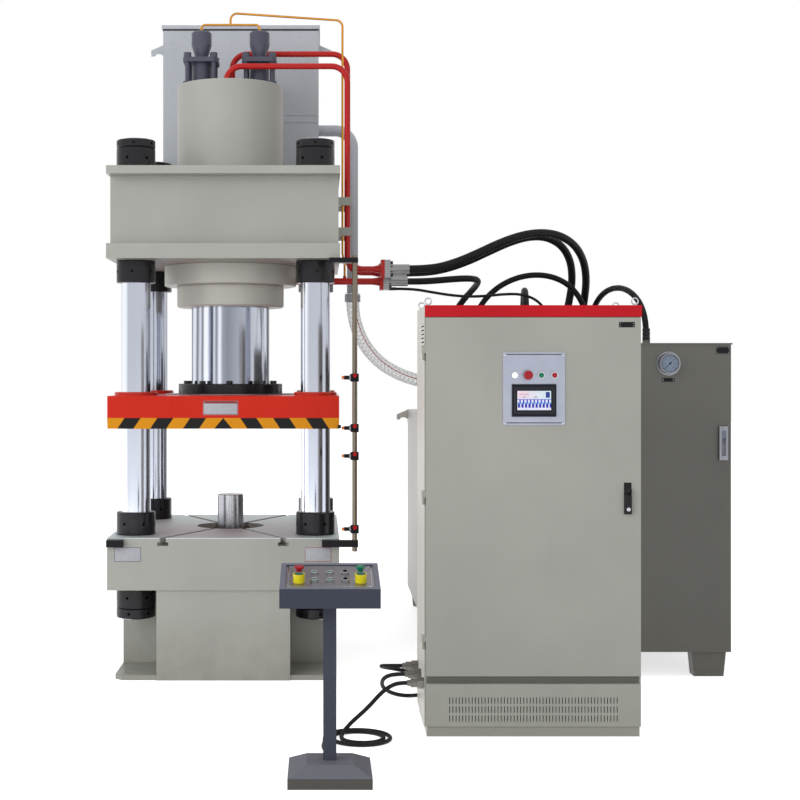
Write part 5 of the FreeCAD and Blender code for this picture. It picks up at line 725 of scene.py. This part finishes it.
# Painted shade: the oil tank gets a darker grey than the machine's, for the cabinet's shadow on it.
dress("oil_tank", enamel("oil_tank_grey_painted_shade", (105, 104, 98), dust=0.4))
dress("tank_gauges", metal("case_steel", (138, 140, 146), roughness=0.2, grain=EVEN))
dress("valve_tank", enamel("low_tank_grey", (200, 197, 190), dust=0.3))
dress("pump_set", enamel("motor_paint", (70, 78, 88), roughness=0.4, peel=0.2))


# ---------------------------------------------------------------- hoses and cables

ORDER = 3
ROUND_SIDES = 6
CURVE_STEPS = 10


def free_line(name, points, diameter, replaced, shader):
    """A hose or cable on the smooth curve of its points, in the place of its CAD nodes."""
    data = bpy.data.curves.new(name, "CURVE")
    data.dimensions = "3D"
    data.bevel_depth = diameter * MM / 2
    data.bevel_resolution = ROUND_SIDES
    data.resolution_u = CURVE_STEPS
    data.use_fill_caps = True
    spline = data.splines.new("NURBS")
    spline.points.add(len(points) - 1)
    for point, place in zip(spline.points, points):
        point.co = (place[0] * MM, place[1] * MM, place[2] * MM, 1.0)
    spline.order_u = ORDER
    spline.use_endpoint_u = True
    data.materials.append(shader.material)
    piece = bpy.data.objects.new(name, data)
    bpy.context.collection.objects.link(piece)
    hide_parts(*replaced.split())
    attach(piece, "frame")


for hose_name, route, diameter, length, node, stiffness, _ in HOSES:
    free_line(hose_name, route, diameter, node, hose_rubber)
free_line("clear_hose", clear_hose, CLEAR_HOSE, "clear_return_hose", clear_pvc())
pedestal_route = cable_to_loops + floor_loops() + loops_to_pedestal
for cable_name, route, length, node in (
    ("pedestal_line", pedestal_route, 2240, "pedestal_cable pedestal_cable_coil"),
    ("low_cable", low_cable, 2179, "cabinet_cables"),
    ("rear_cable", rear_cable, 2119, "cabinet_cables"),
):
    free_line(cable_name, route, CABLE, node, cable_rubber)


# ---------------------------------------------------------------- small pieces

FORWARD = (0, -1, 0)
UP = (0, 0, 1)
SIDEWAYS = (1, 0, 0)
SMOOTH_ANGLE = math.radians(32)


class Build:
    """Mesh of one small piece, put together in millimetres, in the part's frame or in a seat's."""

    def __init__(self, seat=None):
        self.mesh = bmesh.new()
        self.seat = seat

    def add(self, part, place=None):
        if place is not None:
            bmesh.ops.transform(part, matrix=place, verts=part.verts)
        scrap = bpy.data.meshes.new("scrap")
        part.to_mesh(scrap)
        part.free()
        self.mesh.from_mesh(scrap)
        bpy.data.meshes.remove(scrap)
        return self

    def slab(self, low, high, edge, place=None):
        """Block between two corners, with rounded edges."""
        part = bmesh.new()
        bmesh.ops.create_cube(part, size=1.0)
        low, high = Vector(low), Vector(high)
        size = high - low
        for corner in part.verts:
            corner.co = (low + high) / 2 + Vector(a * b for a, b in zip(corner.co, size))
        bmesh.ops.bevel(part, geom=part.edges[:], offset=edge, segments=2, profile=0.5, affect="EDGES")
        return self.add(part, place)

    def turned(self, outline, place, facing=FORWARD, sides=40):
        """Surface turned from (radius, height) corners round an axis through place."""
        part = bmesh.new()
        turn = Vector(facing).to_track_quat("Z", "Y").to_matrix()
        rings = []
        for radius, height in outline:
            count = sides if radius > 0 else 1
            angles = [2 * math.pi * k / sides for k in range(count)]
            corners = [Vector((radius * math.cos(a), radius * math.sin(a), height)) for a in angles]
            rings.append([part.verts.new(Vector(place) + turn @ corner) for corner in corners])
        for first, second in zip(rings, rings[1:]):
            for k in range(sides):
                corners = [first[k % len(first)], first[(k + 1) % len(first)],
                           second[(k + 1) % len(second)], second[k % len(second)]]
                corners = list(dict.fromkeys(corners))
                if len(corners) > 2:
                    part.faces.new(corners)
        bmesh.ops.remove_doubles(part, verts=part.verts[:], dist=0.0005)
        bmesh.ops.recalc_face_normals(part, faces=part.faces[:])
        return self.add(part)

    def ring(self, place, facing, radius, wire, sides=36):
        """Round wire bent to a closed ring."""
        steps = 14
        outline = [
            (radius + wire * math.cos(2 * math.pi * k / steps), wire * math.sin(2 * math.pi * k / steps))
            for k in range(steps + 1)
        ]
        return self.turned(outline, place, facing, sides)

    def figure(self, words, place, size):
        """Plain raised figure that faces the front."""
        data = bpy.data.curves.new("figure", "FONT")
        data.body = words
        data.size = size
        data.align_x = "CENTER"
        data.align_y = "CENTER"
        data.extrude = 0.1
        scrap = bpy.data.objects.new("figure", data)
        part = bmesh.new()
        part.from_mesh(bpy.data.meshes.new_from_object(scrap))
        bpy.data.objects.remove(scrap)
        upright = Matrix.Translation(place) @ Matrix.Rotation(math.radians(90), 4, "X")
        return self.add(part, upright)

    def done(self, name, shader, body, material_slot):
        """Makes the piece, which rides on a body."""
        if self.seat is not None:
            bmesh.ops.transform(self.mesh, matrix=self.seat, verts=self.mesh.verts)
        bmesh.ops.scale(self.mesh, vec=(MM, MM, MM), verts=self.mesh.verts)
        data = bpy.data.meshes.new(name)
        self.mesh.to_mesh(data)
        self.mesh.free()
        data.shade_smooth()
        data.set_sharp_from_angle(angle=SMOOTH_ANGLE)
        data.materials.append(shader.material)
        piece = bpy.data.objects.new(name, data)
        bpy.context.collection.objects.link(piece)
        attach(piece, body)


def dome(radius, height):
    """Outline of a low round head on its flat."""
    return [(radius, 0), (radius, height * 0.4), (radius * 0.72, height * 0.85), (0, height)]


def rim(left, right, low, high, width):
    """The four strips round the inside of a rectangle, each as two opposite corners."""
    return [((left, low), (left + width, high)), ((right - width, low), (right, high)),
            ((left, low), (right, low + width)), ((left, high - width), (right, high))]


# Blank riveted plates.

PLATE_THICKNESS = 0.8
BORDER_INSET = 1.5
BORDER_WIDTH = 2.6
RIVET_INSET = 6


def name_plate(name, x, z, face, body, plate, border, bar=None):
    """Blank plate with a border, and a coloured bar along its top if one is given."""
    front = face - PLATE_THICKNESS
    Build().slab((x[0], front, z[0]), (x[1], face, z[1]), 0.3).done(name, plate, body, "panel_silver")
    left, right = x[0] + BORDER_INSET, x[1] - BORDER_INSET
    low, high = z[0] + BORDER_INSET, z[1] - BORDER_INSET
    strips = rim(left, right, low, high, BORDER_WIDTH)
    if bar:
        strips.append(((left, high - bar), (right, high)))
    edging = Build()
    for a, b in strips:
        edging.slab((a[0], front - 0.2, a[1]), (b[0], face - 0.4, b[1]), 0.15)
    edging.done(name + "_border", border, body, "signal_red")
    rivets = Build()
    for rivet_x in (x[0] + RIVET_INSET, x[1] - RIVET_INSET):
        for rivet_z in (z[0] + RIVET_INSET, z[1] - RIVET_INSET):
            rivets.turned(dome(1.7, 1.1), (rivet_x, front, rivet_z), sides=16)
    rivets.done(name + "_rivets", bright_ring, body, "zinc_steel")


gauges_low, gauges_high = box_mm("tank_gauges")
SLIDE_FRONT = -box_mm("slide_platen")[1][1]
TABLE_FRONT = box_mm("bed_table")[0][1]
TANK_FRONT = gauges_high[1]
name_plate("slide_plate", (-101, 74), (1328, 1398), SLIDE_FRONT, "slide", label_white, label_red, bar=11)
name_plate("table_plate_left", (-544, -409), (594, 669), TABLE_FRONT, "frame", label_white, label_grey)
name_plate("table_plate_right", (407, 542), (594, 669), TABLE_FRONT, "frame", label_white, label_red)
name_plate("door_plate", (1746, 1813), (1729, 1752), DOOR_FACE, "door", label_black, label_black)
name_plate("tank_plate", (2487, 2557), (1634, 1672), TANK_FRONT, "frame", label_black, label_grey)
name_plate("gauge_plate", (2216, 2278), (1494, 1513), TANK_FRONT, "frame", label_black, label_black)


# The pressure gauge's dial, and the tall glass that shows the oil's level.

FLANGE_RADIUS = 61
GAUGE = (gauges_low[0] + FLANGE_RADIUS, gauges_high[2] - FLANGE_RADIUS)
GAUGE_FACE = gauges_low[1] + 3
GAUGE_RADIUS = 45
DIAL_START = 225
DIAL_SWEEP = 270
DIAL_STEPS = 30


def dial_paint():
    """Blue-grey dial behind a clear coat."""
    shader = Shader("dial_paint", Coat_Weight=1.0, Coat_Roughness=0.05)
    shader.paint(shader.blend(shader.cloud(9.0, 3), (84, 102, 128), (114, 132, 154)))
    shader.polish(shader.cloud(80.0, 2, 0.3, 0.4))
    shader.bump(shader.noise(300.0, 1), 0.02, 0.0002)
    return shader


def round_place(radius, degrees, y):
    """Place on the gauge's face."""
    angle = math.radians(degrees)
    return (GAUGE[0] + radius * math.cos(angle), y, GAUGE[1] + radius * math.sin(angle))


def spun(degrees):
    """Turn about the gauge's axis."""
    return Matrix.Translation((GAUGE[0], 0, GAUGE[1])) @ Matrix.Rotation(-math.radians(degrees), 4, "Y")


def gauge():
    """Dial with plain numbers, its needle, and the screws of the wall flange."""
    x, z = GAUGE
    inner = GAUGE_RADIUS - 0.4
    face = Build().turned([(0, 0.5), (inner, 0.5), (inner, 0), (0, 0)], (x, GAUGE_FACE, z))
    face.done("gauge_face", dial_paint(), "frame", "gauge_case")
    marks = Build()
    for k in range(DIAL_STEPS + 1):
        degrees = DIAL_START - DIAL_SWEEP * k / DIAL_STEPS
        long_mark = k % 5 == 0
        start, half = (33, 0.7) if long_mark else (36.5, 0.35)
        marks.slab((start, GAUGE_FACE - 0.75, -half), (40.5, GAUGE_FACE - 0.4, half), 0.1, spun(degrees))
        if long_mark:
            marks.figure(str(2 * k), round_place(26.5, degrees, GAUGE_FACE - 0.6), 8)
    marks.ring((x, GAUGE_FACE - 0.55, z), FORWARD, 41.0, 0.35, 64)
    marks.ring((x, GAUGE_FACE - 0.2, z), FORWARD, GAUGE_RADIUS - 0.9, 1.1, 64)
    marks.done("gauge_marks", label_black, "frame", "plastic_black")
    needle = Build()
    for start, end, half in ((-13, 0, 1.8), (0, 35, 1.0)):
        needle.slab((start, GAUGE_FACE - 2.0, -half), (end, GAUGE_FACE - 1.4, half), 0.25, spun(DIAL_START))
    needle.turned([(4.5, 0), (4.5, 1.9), (3.2, 2.5), (0, 2.5)], (x, GAUGE_FACE - 0.4, z))
    needle.done("gauge_needle", label_black, "frame", "plastic_black")
    screws = Build()
    for degrees in (90, 210, 330):
        screws.turned(dome(4.2, 3.4), round_place(55, degrees, TANK_FRONT - 5), sides=6)
    screws.done("gauge_screws", zinc, "frame", "zinc_steel")


LEVEL_X = gauges_high[0] - 21.5
LEVEL_Z = (gauges_low[2], gauges_low[2] + 171)
LEVEL_FRONT = TANK_FRONT - 24
OIL_LEVEL = (1205, 1212)
LEVEL_BOLT = ((7.5, 0), (7.5, 3.4), (6.4, 4.4), (3.2, 4.4), (3.2, 2.2), (0, 2.2))


def oil_glass():
    """Glass tube in front of dark oil, and of air above the oil's level."""
    shader = Shader("level_oil", Coat_Weight=1.0, Coat_Roughness=0.04)
    height = shader.parts(shader.place)[2]
    level = shader.ramp(height, OIL_LEVEL[0] * MM, OIL_LEVEL[1] * MM)
    oil = shader.blend(level, (34, 40, 74), (104, 112, 140))
    shader.paint(shader.blend(shader.cloud(40.0, 2, 0.0, 0.35), oil, (16, 20, 40)))
    shader.polish(shader.cloud(20.0, 2, 0.12, 0.2))
    return shader


def level_glass():
    """Window, printed scale and the two hollow bolts of the level glass."""
    x = LEVEL_X
    low, high = LEVEL_Z
    window = Build().slab((x - 10.4, LEVEL_FRONT + 1.4, low + 22),
                          (x + 10.4, LEVEL_FRONT + 3, high - 22), 0.7)
    window.done("level_window", oil_glass(), "frame", "screen_case")
    front, back = LEVEL_FRONT + 1.1, LEVEL_FRONT + 1.6
    scale = Build()
    for k in range(9):
        z = low + 32 + k * 13
        scale.slab((x + 3.5, front, z - 0.5), (x + (9.0 if k % 4 == 0 else 7.0), back, z + 0.5), 0.1)
    scale.slab((x - 5.6, front, low + 28), (x - 4.4, back, high - 44), 0.15)
    scale.done("level_scale", label_white, "frame", "panel_silver")
    bolts = Build()
    for z in (low + 11, high - 11):
        bolts.turned(LEVEL_BOLT, (x, LEVEL_FRONT, z), sides=24)
    bolts.done("level_bolts", zinc, "frame", "zinc_steel")


gauge()
level_glass()


# Door: operator panel's screen, lamp, strips of painted shade along its edges and screws, and the handle's
# plate and lock.

panel_low, panel_high = box_mm("operator_panel")
SCREEN_X = (1315.5, 1458.5)
SCREEN_Z = (1379.5, 1461.5)
SCREEN_BACK = PLATE_FRONT - 5
SCREEN_KEYS = 9.6
LAMP_PLACE = (1305, panel_low[1], BUTTON_LEVEL)
LENS = ((11, 0), (11, 0.8), (8.5, 2.6), (4.5, 3.6), (0, 4.0))


def screen_picture():
    """Lit display: pale upper field with a dark block at its right, and a row of blue keys."""
    shader = Shader("screen_picture", gloss=0.2)
    x, _, z = shader.parts(shader.place)
    across = shader.ramp(x, SCREEN_X[0] * MM, SCREEN_X[1] * MM)
    up = shader.ramp(z, SCREEN_Z[0] * MM, SCREEN_Z[1] * MM)

    def between(value, low, high):
        return shader.all_of(shader.above(value, low), shader.below(value, high))

    def field(left, right, low, high):
        return shader.all_of(between(across, left, right), between(up, low, high))

    glow = shader.cloud(60.0, 2)
    upper = shader.blend(across, (244, 214, 232), (206, 240, 250))
    upper = shader.blend(shader.times(glow, 0.4), upper, (250, 250, 255))
    white = shader.blend(glow, (222, 226, 255), (244, 246, 255))
    picture = shader.blend(shader.above(up, 0.58), white, upper)
    key = shader.fraction(shader.times(across, SCREEN_KEYS))
    for share, tone in (
        (shader.all_of(between(key, 0.16, 0.80), field(0.0, 1.0, 0.13, 0.34)), (38, 42, 178)),
        (shader.all_of(shader.above(key, 0.60), field(0.0, 1.0, 0.34, 0.54)), (44, 62, 190)),
        (shader.all_of(shader.below(key, 0.56), field(0.0, 1.0, 0.34, 0.40)), (120, 190, 240)),
        (field(0.0, 1.0, 0.54, 0.57), (86, 92, 214)),
        (field(0.84, 0.96, 0.64, 0.94), (46, 62, 150)),
        (shader.any_of(field(0.16, 0.25, 0.66, 0.69), field(0.50, 0.59, 0.66, 0.69)), (40, 40, 90)),
        (field(0.06, 0.34, 0.80, 0.84), (236, 150, 178)),
    ):
        picture = shader.blend(share, picture, tone)
    shader.paint(shader.blend(glow, (10, 10, 14), (16, 16, 22)))
    shader.emit(picture, 0.92)
    shader.polish(shader.ramp(glow, 0.0, 1.0, 0.2, 0.3))
    return shader


def lit_lens():
    """White lens of the lit lamp."""
    shader = Shader("lit_lens", Coat_Weight=0.6, Coat_Roughness=0.1)
    glow = shader.cloud(200.0, 2)
    shader.paint(shader.blend(glow, (226, 228, 240), (244, 245, 250)))
    shader.emit(shader.blend(glow, (232, 234, 255), (255, 255, 255)), 0.8)
    shader.polish(shader.ramp(glow, 0.0, 1.0, 0.2, 0.3))
    return shader


def operator_details():
    """Screen with its rim, the lamp's lens, dark strips of painted shade along the plate's edges, and
    cross-slotted screws whose slots are painted shade.
    """
    face = Build().slab((SCREEN_X[0] + 0.4, SCREEN_BACK - 0.8, SCREEN_Z[0] + 0.4),
                        (SCREEN_X[1] - 0.4, SCREEN_BACK, SCREEN_Z[1] - 0.4), 0.2)
    face.done("screen_face", screen_picture(), "door", "screen_case")
    rims = Build()
    for out, height in ((8, 1.0), (13, 0.6)):
        for a, b in rim(SCREEN_X[0] - out, SCREEN_X[1] + out, SCREEN_Z[0] - out, SCREEN_Z[1] + out, 1.2):
            rims.slab((a[0], CASE_FRONT - height, a[1]), (b[0], CASE_FRONT + 0.2, b[1]), 0.2)
    rims.done("screen_rim", grey_plastic, "door", "screen_case")
    Build().turned(LENS, LAMP_PLACE).done("signal_lens", lit_lens(), "door", "clear_pvc")
    strips = Build()
    screws = Build()
    slots = Build()
    left, right = panel_low[0] + 8, panel_high[0] - 8
    for z in (panel_low[2] + 9, panel_high[2] - 9):
        # Painted shade: thin dark strips along the plate's top and bottom edges.
        strips.slab((left, PLATE_FRONT - 1.0, z - 1.6), (right, PLATE_FRONT, z + 1.6), 0.3)
        for x in (left, right):
            screws.turned(dome(5.6, 2.4), (x, PLATE_FRONT, z), sides=28)
            # Painted shade: black slabs for the dark cross slots in the screw heads.
            for across, upright in ((3.6, 0.5), (0.5, 3.6)):
                slots.slab((x - across, PLATE_FRONT - 2.5, z - upright),
                           (x + across, PLATE_FRONT - 1.9, z + upright), 0.1)
    strips.done("panel_shade_strips", label_black, "door", "plastic_black")
    screws.done("panel_screws", bright_ring, "door", "zinc_steel")
    slots.done("panel_screw_slots", label_black, "door", "plastic_black")


lever_low, lever_high = box_mm("door_handle_lever")
HANDLE_X = (lever_low[0] + lever_high[0]) / 2
LOCK_LEVEL = 962
LOCK_FACE = DOOR_FACE - 18
LOCK = ((8, 0), (8, 2.4), (7, 3.2), (5.6, 3.2), (5.2, 2.4), (0, 2.4))


def handle_details():
    """Plate behind the handle, and the lock in the handle, with a black slab of painted shade for its
    keyhole.
    """
    plate = Build().slab((HANDLE_X - 16, DOOR_FACE - 0.8, 940), (HANDLE_X + 16, DOOR_FACE, 1074), 0.35)
    plate.done("handle_plate", black_plastic, "door", "plastic_black")
    lock = Build().turned(LOCK, (HANDLE_X, LOCK_FACE, LOCK_LEVEL), sides=36)
    lock.done("handle_lock", bright_ring, "handle", "zinc_steel")
    # Painted shade: a black slab for the dark inside of the keyhole.
    slot = Build().slab((HANDLE_X - 0.8, LOCK_FACE - 2.7, LOCK_LEVEL - 4),
                        (HANDLE_X + 0.8, LOCK_FACE - 2.2, LOCK_LEVEL + 4), 0.15)
    slot.done("handle_keyhole", label_black, "handle", "plastic_black")


EYE_FOOT = ((11, 0), (11, 2.6), (9, 3.6), (5.5, 5), (5, 9), (0, 9))


def eyebolts():
    """Four lifting eyes on the roof of the cabinet."""
    roof = box_mm("cabinet_shell")[1][2]
    eyes = Build()
    for x in (945, 1825):
        for y in (-1730, -1320):
            eyes.turned(EYE_FOOT, (x, y, roof), UP, 28)
            eyes.ring((x, y, roof + 22), (0, 1, 0), 13.5, 3.2)
    eyes.done("cabinet_eyebolts", bright_ring, "frame", "zinc_steel")


operator_details()
handle_details()
eyebolts()


# Console of the pedestal.

CONTROL_PITCH = 58
FRONT_ROW = 97
BACK_ROW = 190
BEZEL = ((15.6, 0), (15.6, 12.4), (14.6, 13.6), (12.6, 13.6), (12.2, 12.4), (12.2, 0), (15.6, 0))
PALM_CAP = ((18.4, 23.6), (18.4, 27.5), (17.2, 30.0), (12.5, 32.0), (6.5, 33.0), (0, 33.3))


def console_details():
    """Bright trim and screws round the plate, marks on the selectors, palm caps and bezels."""
    left, right, low, high = -158, 158, 34, 290
    trim = Build(CONSOLE)
    for a, b in rim(left, right, low, high, 3):
        trim.slab((*a, PLATE_LEVEL), (*b, PLATE_LEVEL + 1.6), 0.4)
    for u in (left + 9, right - 9):
        for v in (low + 9, high - 9):
            trim.turned(dome(4.2, 2.2), (u, v, PLATE_LEVEL), UP, 20)
    trim.done("console_trim", bright_ring, "frame", "zinc_steel")
    for body, row in (("selector_back", BACK_ROW), ("selector_front", FRONT_ROW)):
        mark = Build(CONSOLE).slab((CONTROL_PITCH - 0.9, row + 1.0, 15.9),
                                   (CONTROL_PITCH + 0.9, row + 8.2, 16.3), 0.12)
        mark.done(body + "_mark", label_white, body, "panel_silver")
    for body, side in (("palm_left", -2), ("palm_right", 2)):
        cap = Build(CONSOLE).turned(PALM_CAP, (side * CONTROL_PITCH, FRONT_ROW, 0), UP)
        cap.done(body + "_cap", palm_green, body, "plastic_green")
    collars = Build(CONSOLE)
    for u in (-CONTROL_PITCH, 0, CONTROL_PITCH):
        for v in (FRONT_ROW, BACK_ROW):
            collars.turned(BEZEL, (u, v, PLATE_LEVEL), UP, 36)
    collars.done("console_collars", bright_ring, "frame", "zinc_steel")


console_details()


# Fittings on the hoses: crimped sleeves at the ports and worm-drive clips on the clear hose.

def sleeve(diameter, length):
    """Outline of a crimped sleeve with two grooves, from the port upwards."""
    inner = diameter / 2 - 0.3
    outer = diameter / 2 + 4
    waist = outer - 1.6
    return [(inner, 0), (outer, 0.8), (outer, length * 0.3), (waist, length * 0.34), (waist, length * 0.4),
            (outer, length * 0.44), (outer, length * 0.66), (waist, length * 0.7), (waist, length * 0.76),
            (outer, length * 0.8), (outer, length - 1.5), (inner, length)]


CLIP_BAND = ((38.2, 0), (39.4, 0.6), (39.4, 11.4), (38.2, 12), (38.2, 0))
CLIP_SCREW = ((4.5, 0), (4.5, 5), (0, 5))


def hose_details():
    """Sleeves and clips, placed on the ends of the hoses' routes."""
    sleeves = Build()
    for _, route, diameter, _, _, _, ends in HOSES:
        for end in ends:
            sleeves.turned(sleeve(diameter, 30 + diameter), route[end], UP, 36)
    sleeves.done("hose_sleeves", black_oxide, "frame", "black_steel")
    x, y, top = clear_hose[0]
    far_x, far_y, far_z = clear_hose[-1]
    clips = Build()
    for drop in (50, 32):
        clips.turned(CLIP_BAND, (x, y, top - drop), UP, 48)
    clips.turned(CLIP_BAND, (far_x - 40, far_y, far_z), SIDEWAYS, 48)
    for drop in (44, 26):
        clips.slab((x + 15, y - 39.5, top - drop - 7), (x + 41, y - 32, top - drop + 7), 1.2)
        clips.turned(CLIP_SCREW, (x + 41, y - 36, top - drop), SIDEWAYS, 6)
    clips.done("hose_clips", zinc, "frame", "zinc_steel")


hose_details()


# ---------------------------------------------------------------- floor, background and light

WHITE = (1.0, 1.0, 1.0, 1.0)
SKY = (0.96, 0.98, 1.0, 1.0)
AMBIENT = 0.42
FLOOR_REACH = 40.0
FLOOR_LEVEL = -0.0005
FLOOR_GLOW = 0.68
GLOW_SPAN = (2.5, 8.5)
SEEN_RAYS = ("Is Camera Ray", "Is Glossy Ray", "Is Transmission Ray")


def floor():
    """Pale floor that keeps the shadow of the machine."""
    data = bpy.data.meshes.new("floor")
    corners = [(x * FLOOR_REACH, y * FLOOR_REACH, 0) for x, y in ((-1, -1), (1, -1), (1, 1), (-1, 1))]
    data.from_pydata(corners, [], [(0, 1, 2, 3)])
    piece = bpy.data.objects.new("floor", data)
    bpy.context.collection.objects.link(piece)
    piece.location.z = FLOOR_LEVEL
    shader = Shader("floor_paint", gloss=0.0)
    rays = shader.add("ShaderNodeLightPath").outputs
    seen = shader.any_of(*[rays[name] for name in SEEN_RAYS])
    shader.paint(shader.blend(seen, (224, 224, 224), WHITE))
    shader.polish(0.9)
    x, y, _ = shader.parts(shader.place)
    glow = shader.ramp(shader.distance(x, y), *GLOW_SPAN, FLOOR_GLOW, 1.0)
    shader.emit(WHITE, shader.times(seen, glow))
    data.materials.append(shader.material)


def background():
    """White behind the machine, and a softer even light from all round it."""
    world = bpy.data.worlds.new("studio")
    bpy.context.scene.world = world
    world.use_nodes = True
    tree = world.node_tree
    tree.nodes.clear()
    rays = tree.nodes.new("ShaderNodeLightPath").outputs
    seen = rays[SEEN_RAYS[0]]
    for name in SEEN_RAYS[1:]:
        either = tree.nodes.new("ShaderNodeMath")
        either.operation = "MAXIMUM"
        tree.links.new(seen, either.inputs[0])
        tree.links.new(rays[name], either.inputs[1])
        seen = either.outputs[0]
    mix = tree.nodes.new("ShaderNodeMixShader")
    tree.links.new(seen, mix.inputs[0])
    for socket, tone, strength in ((mix.inputs[1], SKY, AMBIENT), (mix.inputs[2], WHITE, 1.0)):
        glow = tree.nodes.new("ShaderNodeBackground")
        glow.inputs["Color"].default_value = tone
        glow.inputs["Strength"].default_value = strength
        tree.links.new(glow.outputs[0], socket)
    output = tree.nodes.new("ShaderNodeOutputWorld")
    tree.links.new(mix.outputs[0], output.inputs["Surface"])


def lamp(name, place, target, size, power):
    """A rectangular soft light that faces its target."""
    data = bpy.data.lights.new(name, "AREA")
    data.shape = "RECTANGLE"
    data.size = size[0]
    data.size_y = size[1]
    data.energy = power
    piece = bpy.data.objects.new(name, data)
    piece.location = place
    piece.rotation_euler = (Vector(target) - Vector(place)).to_track_quat("-Z", "Y").to_euler()
    bpy.context.collection.objects.link(piece)
    piece.visible_glossy = False


floor()
background()
lamp("key", (-6.0, -6.5, 3.5), (0.4, 0, 1.4), (8.0, 6.4), 400)
lamp("front", (2.2, -10.5, 2.6), (0.6, 0, 1.4), (13.0, 5.4), 230)
lamp("top", (0.6, -0.5, 7.5), (0.6, 0, 1.0), (8.0, 7.0), 130)
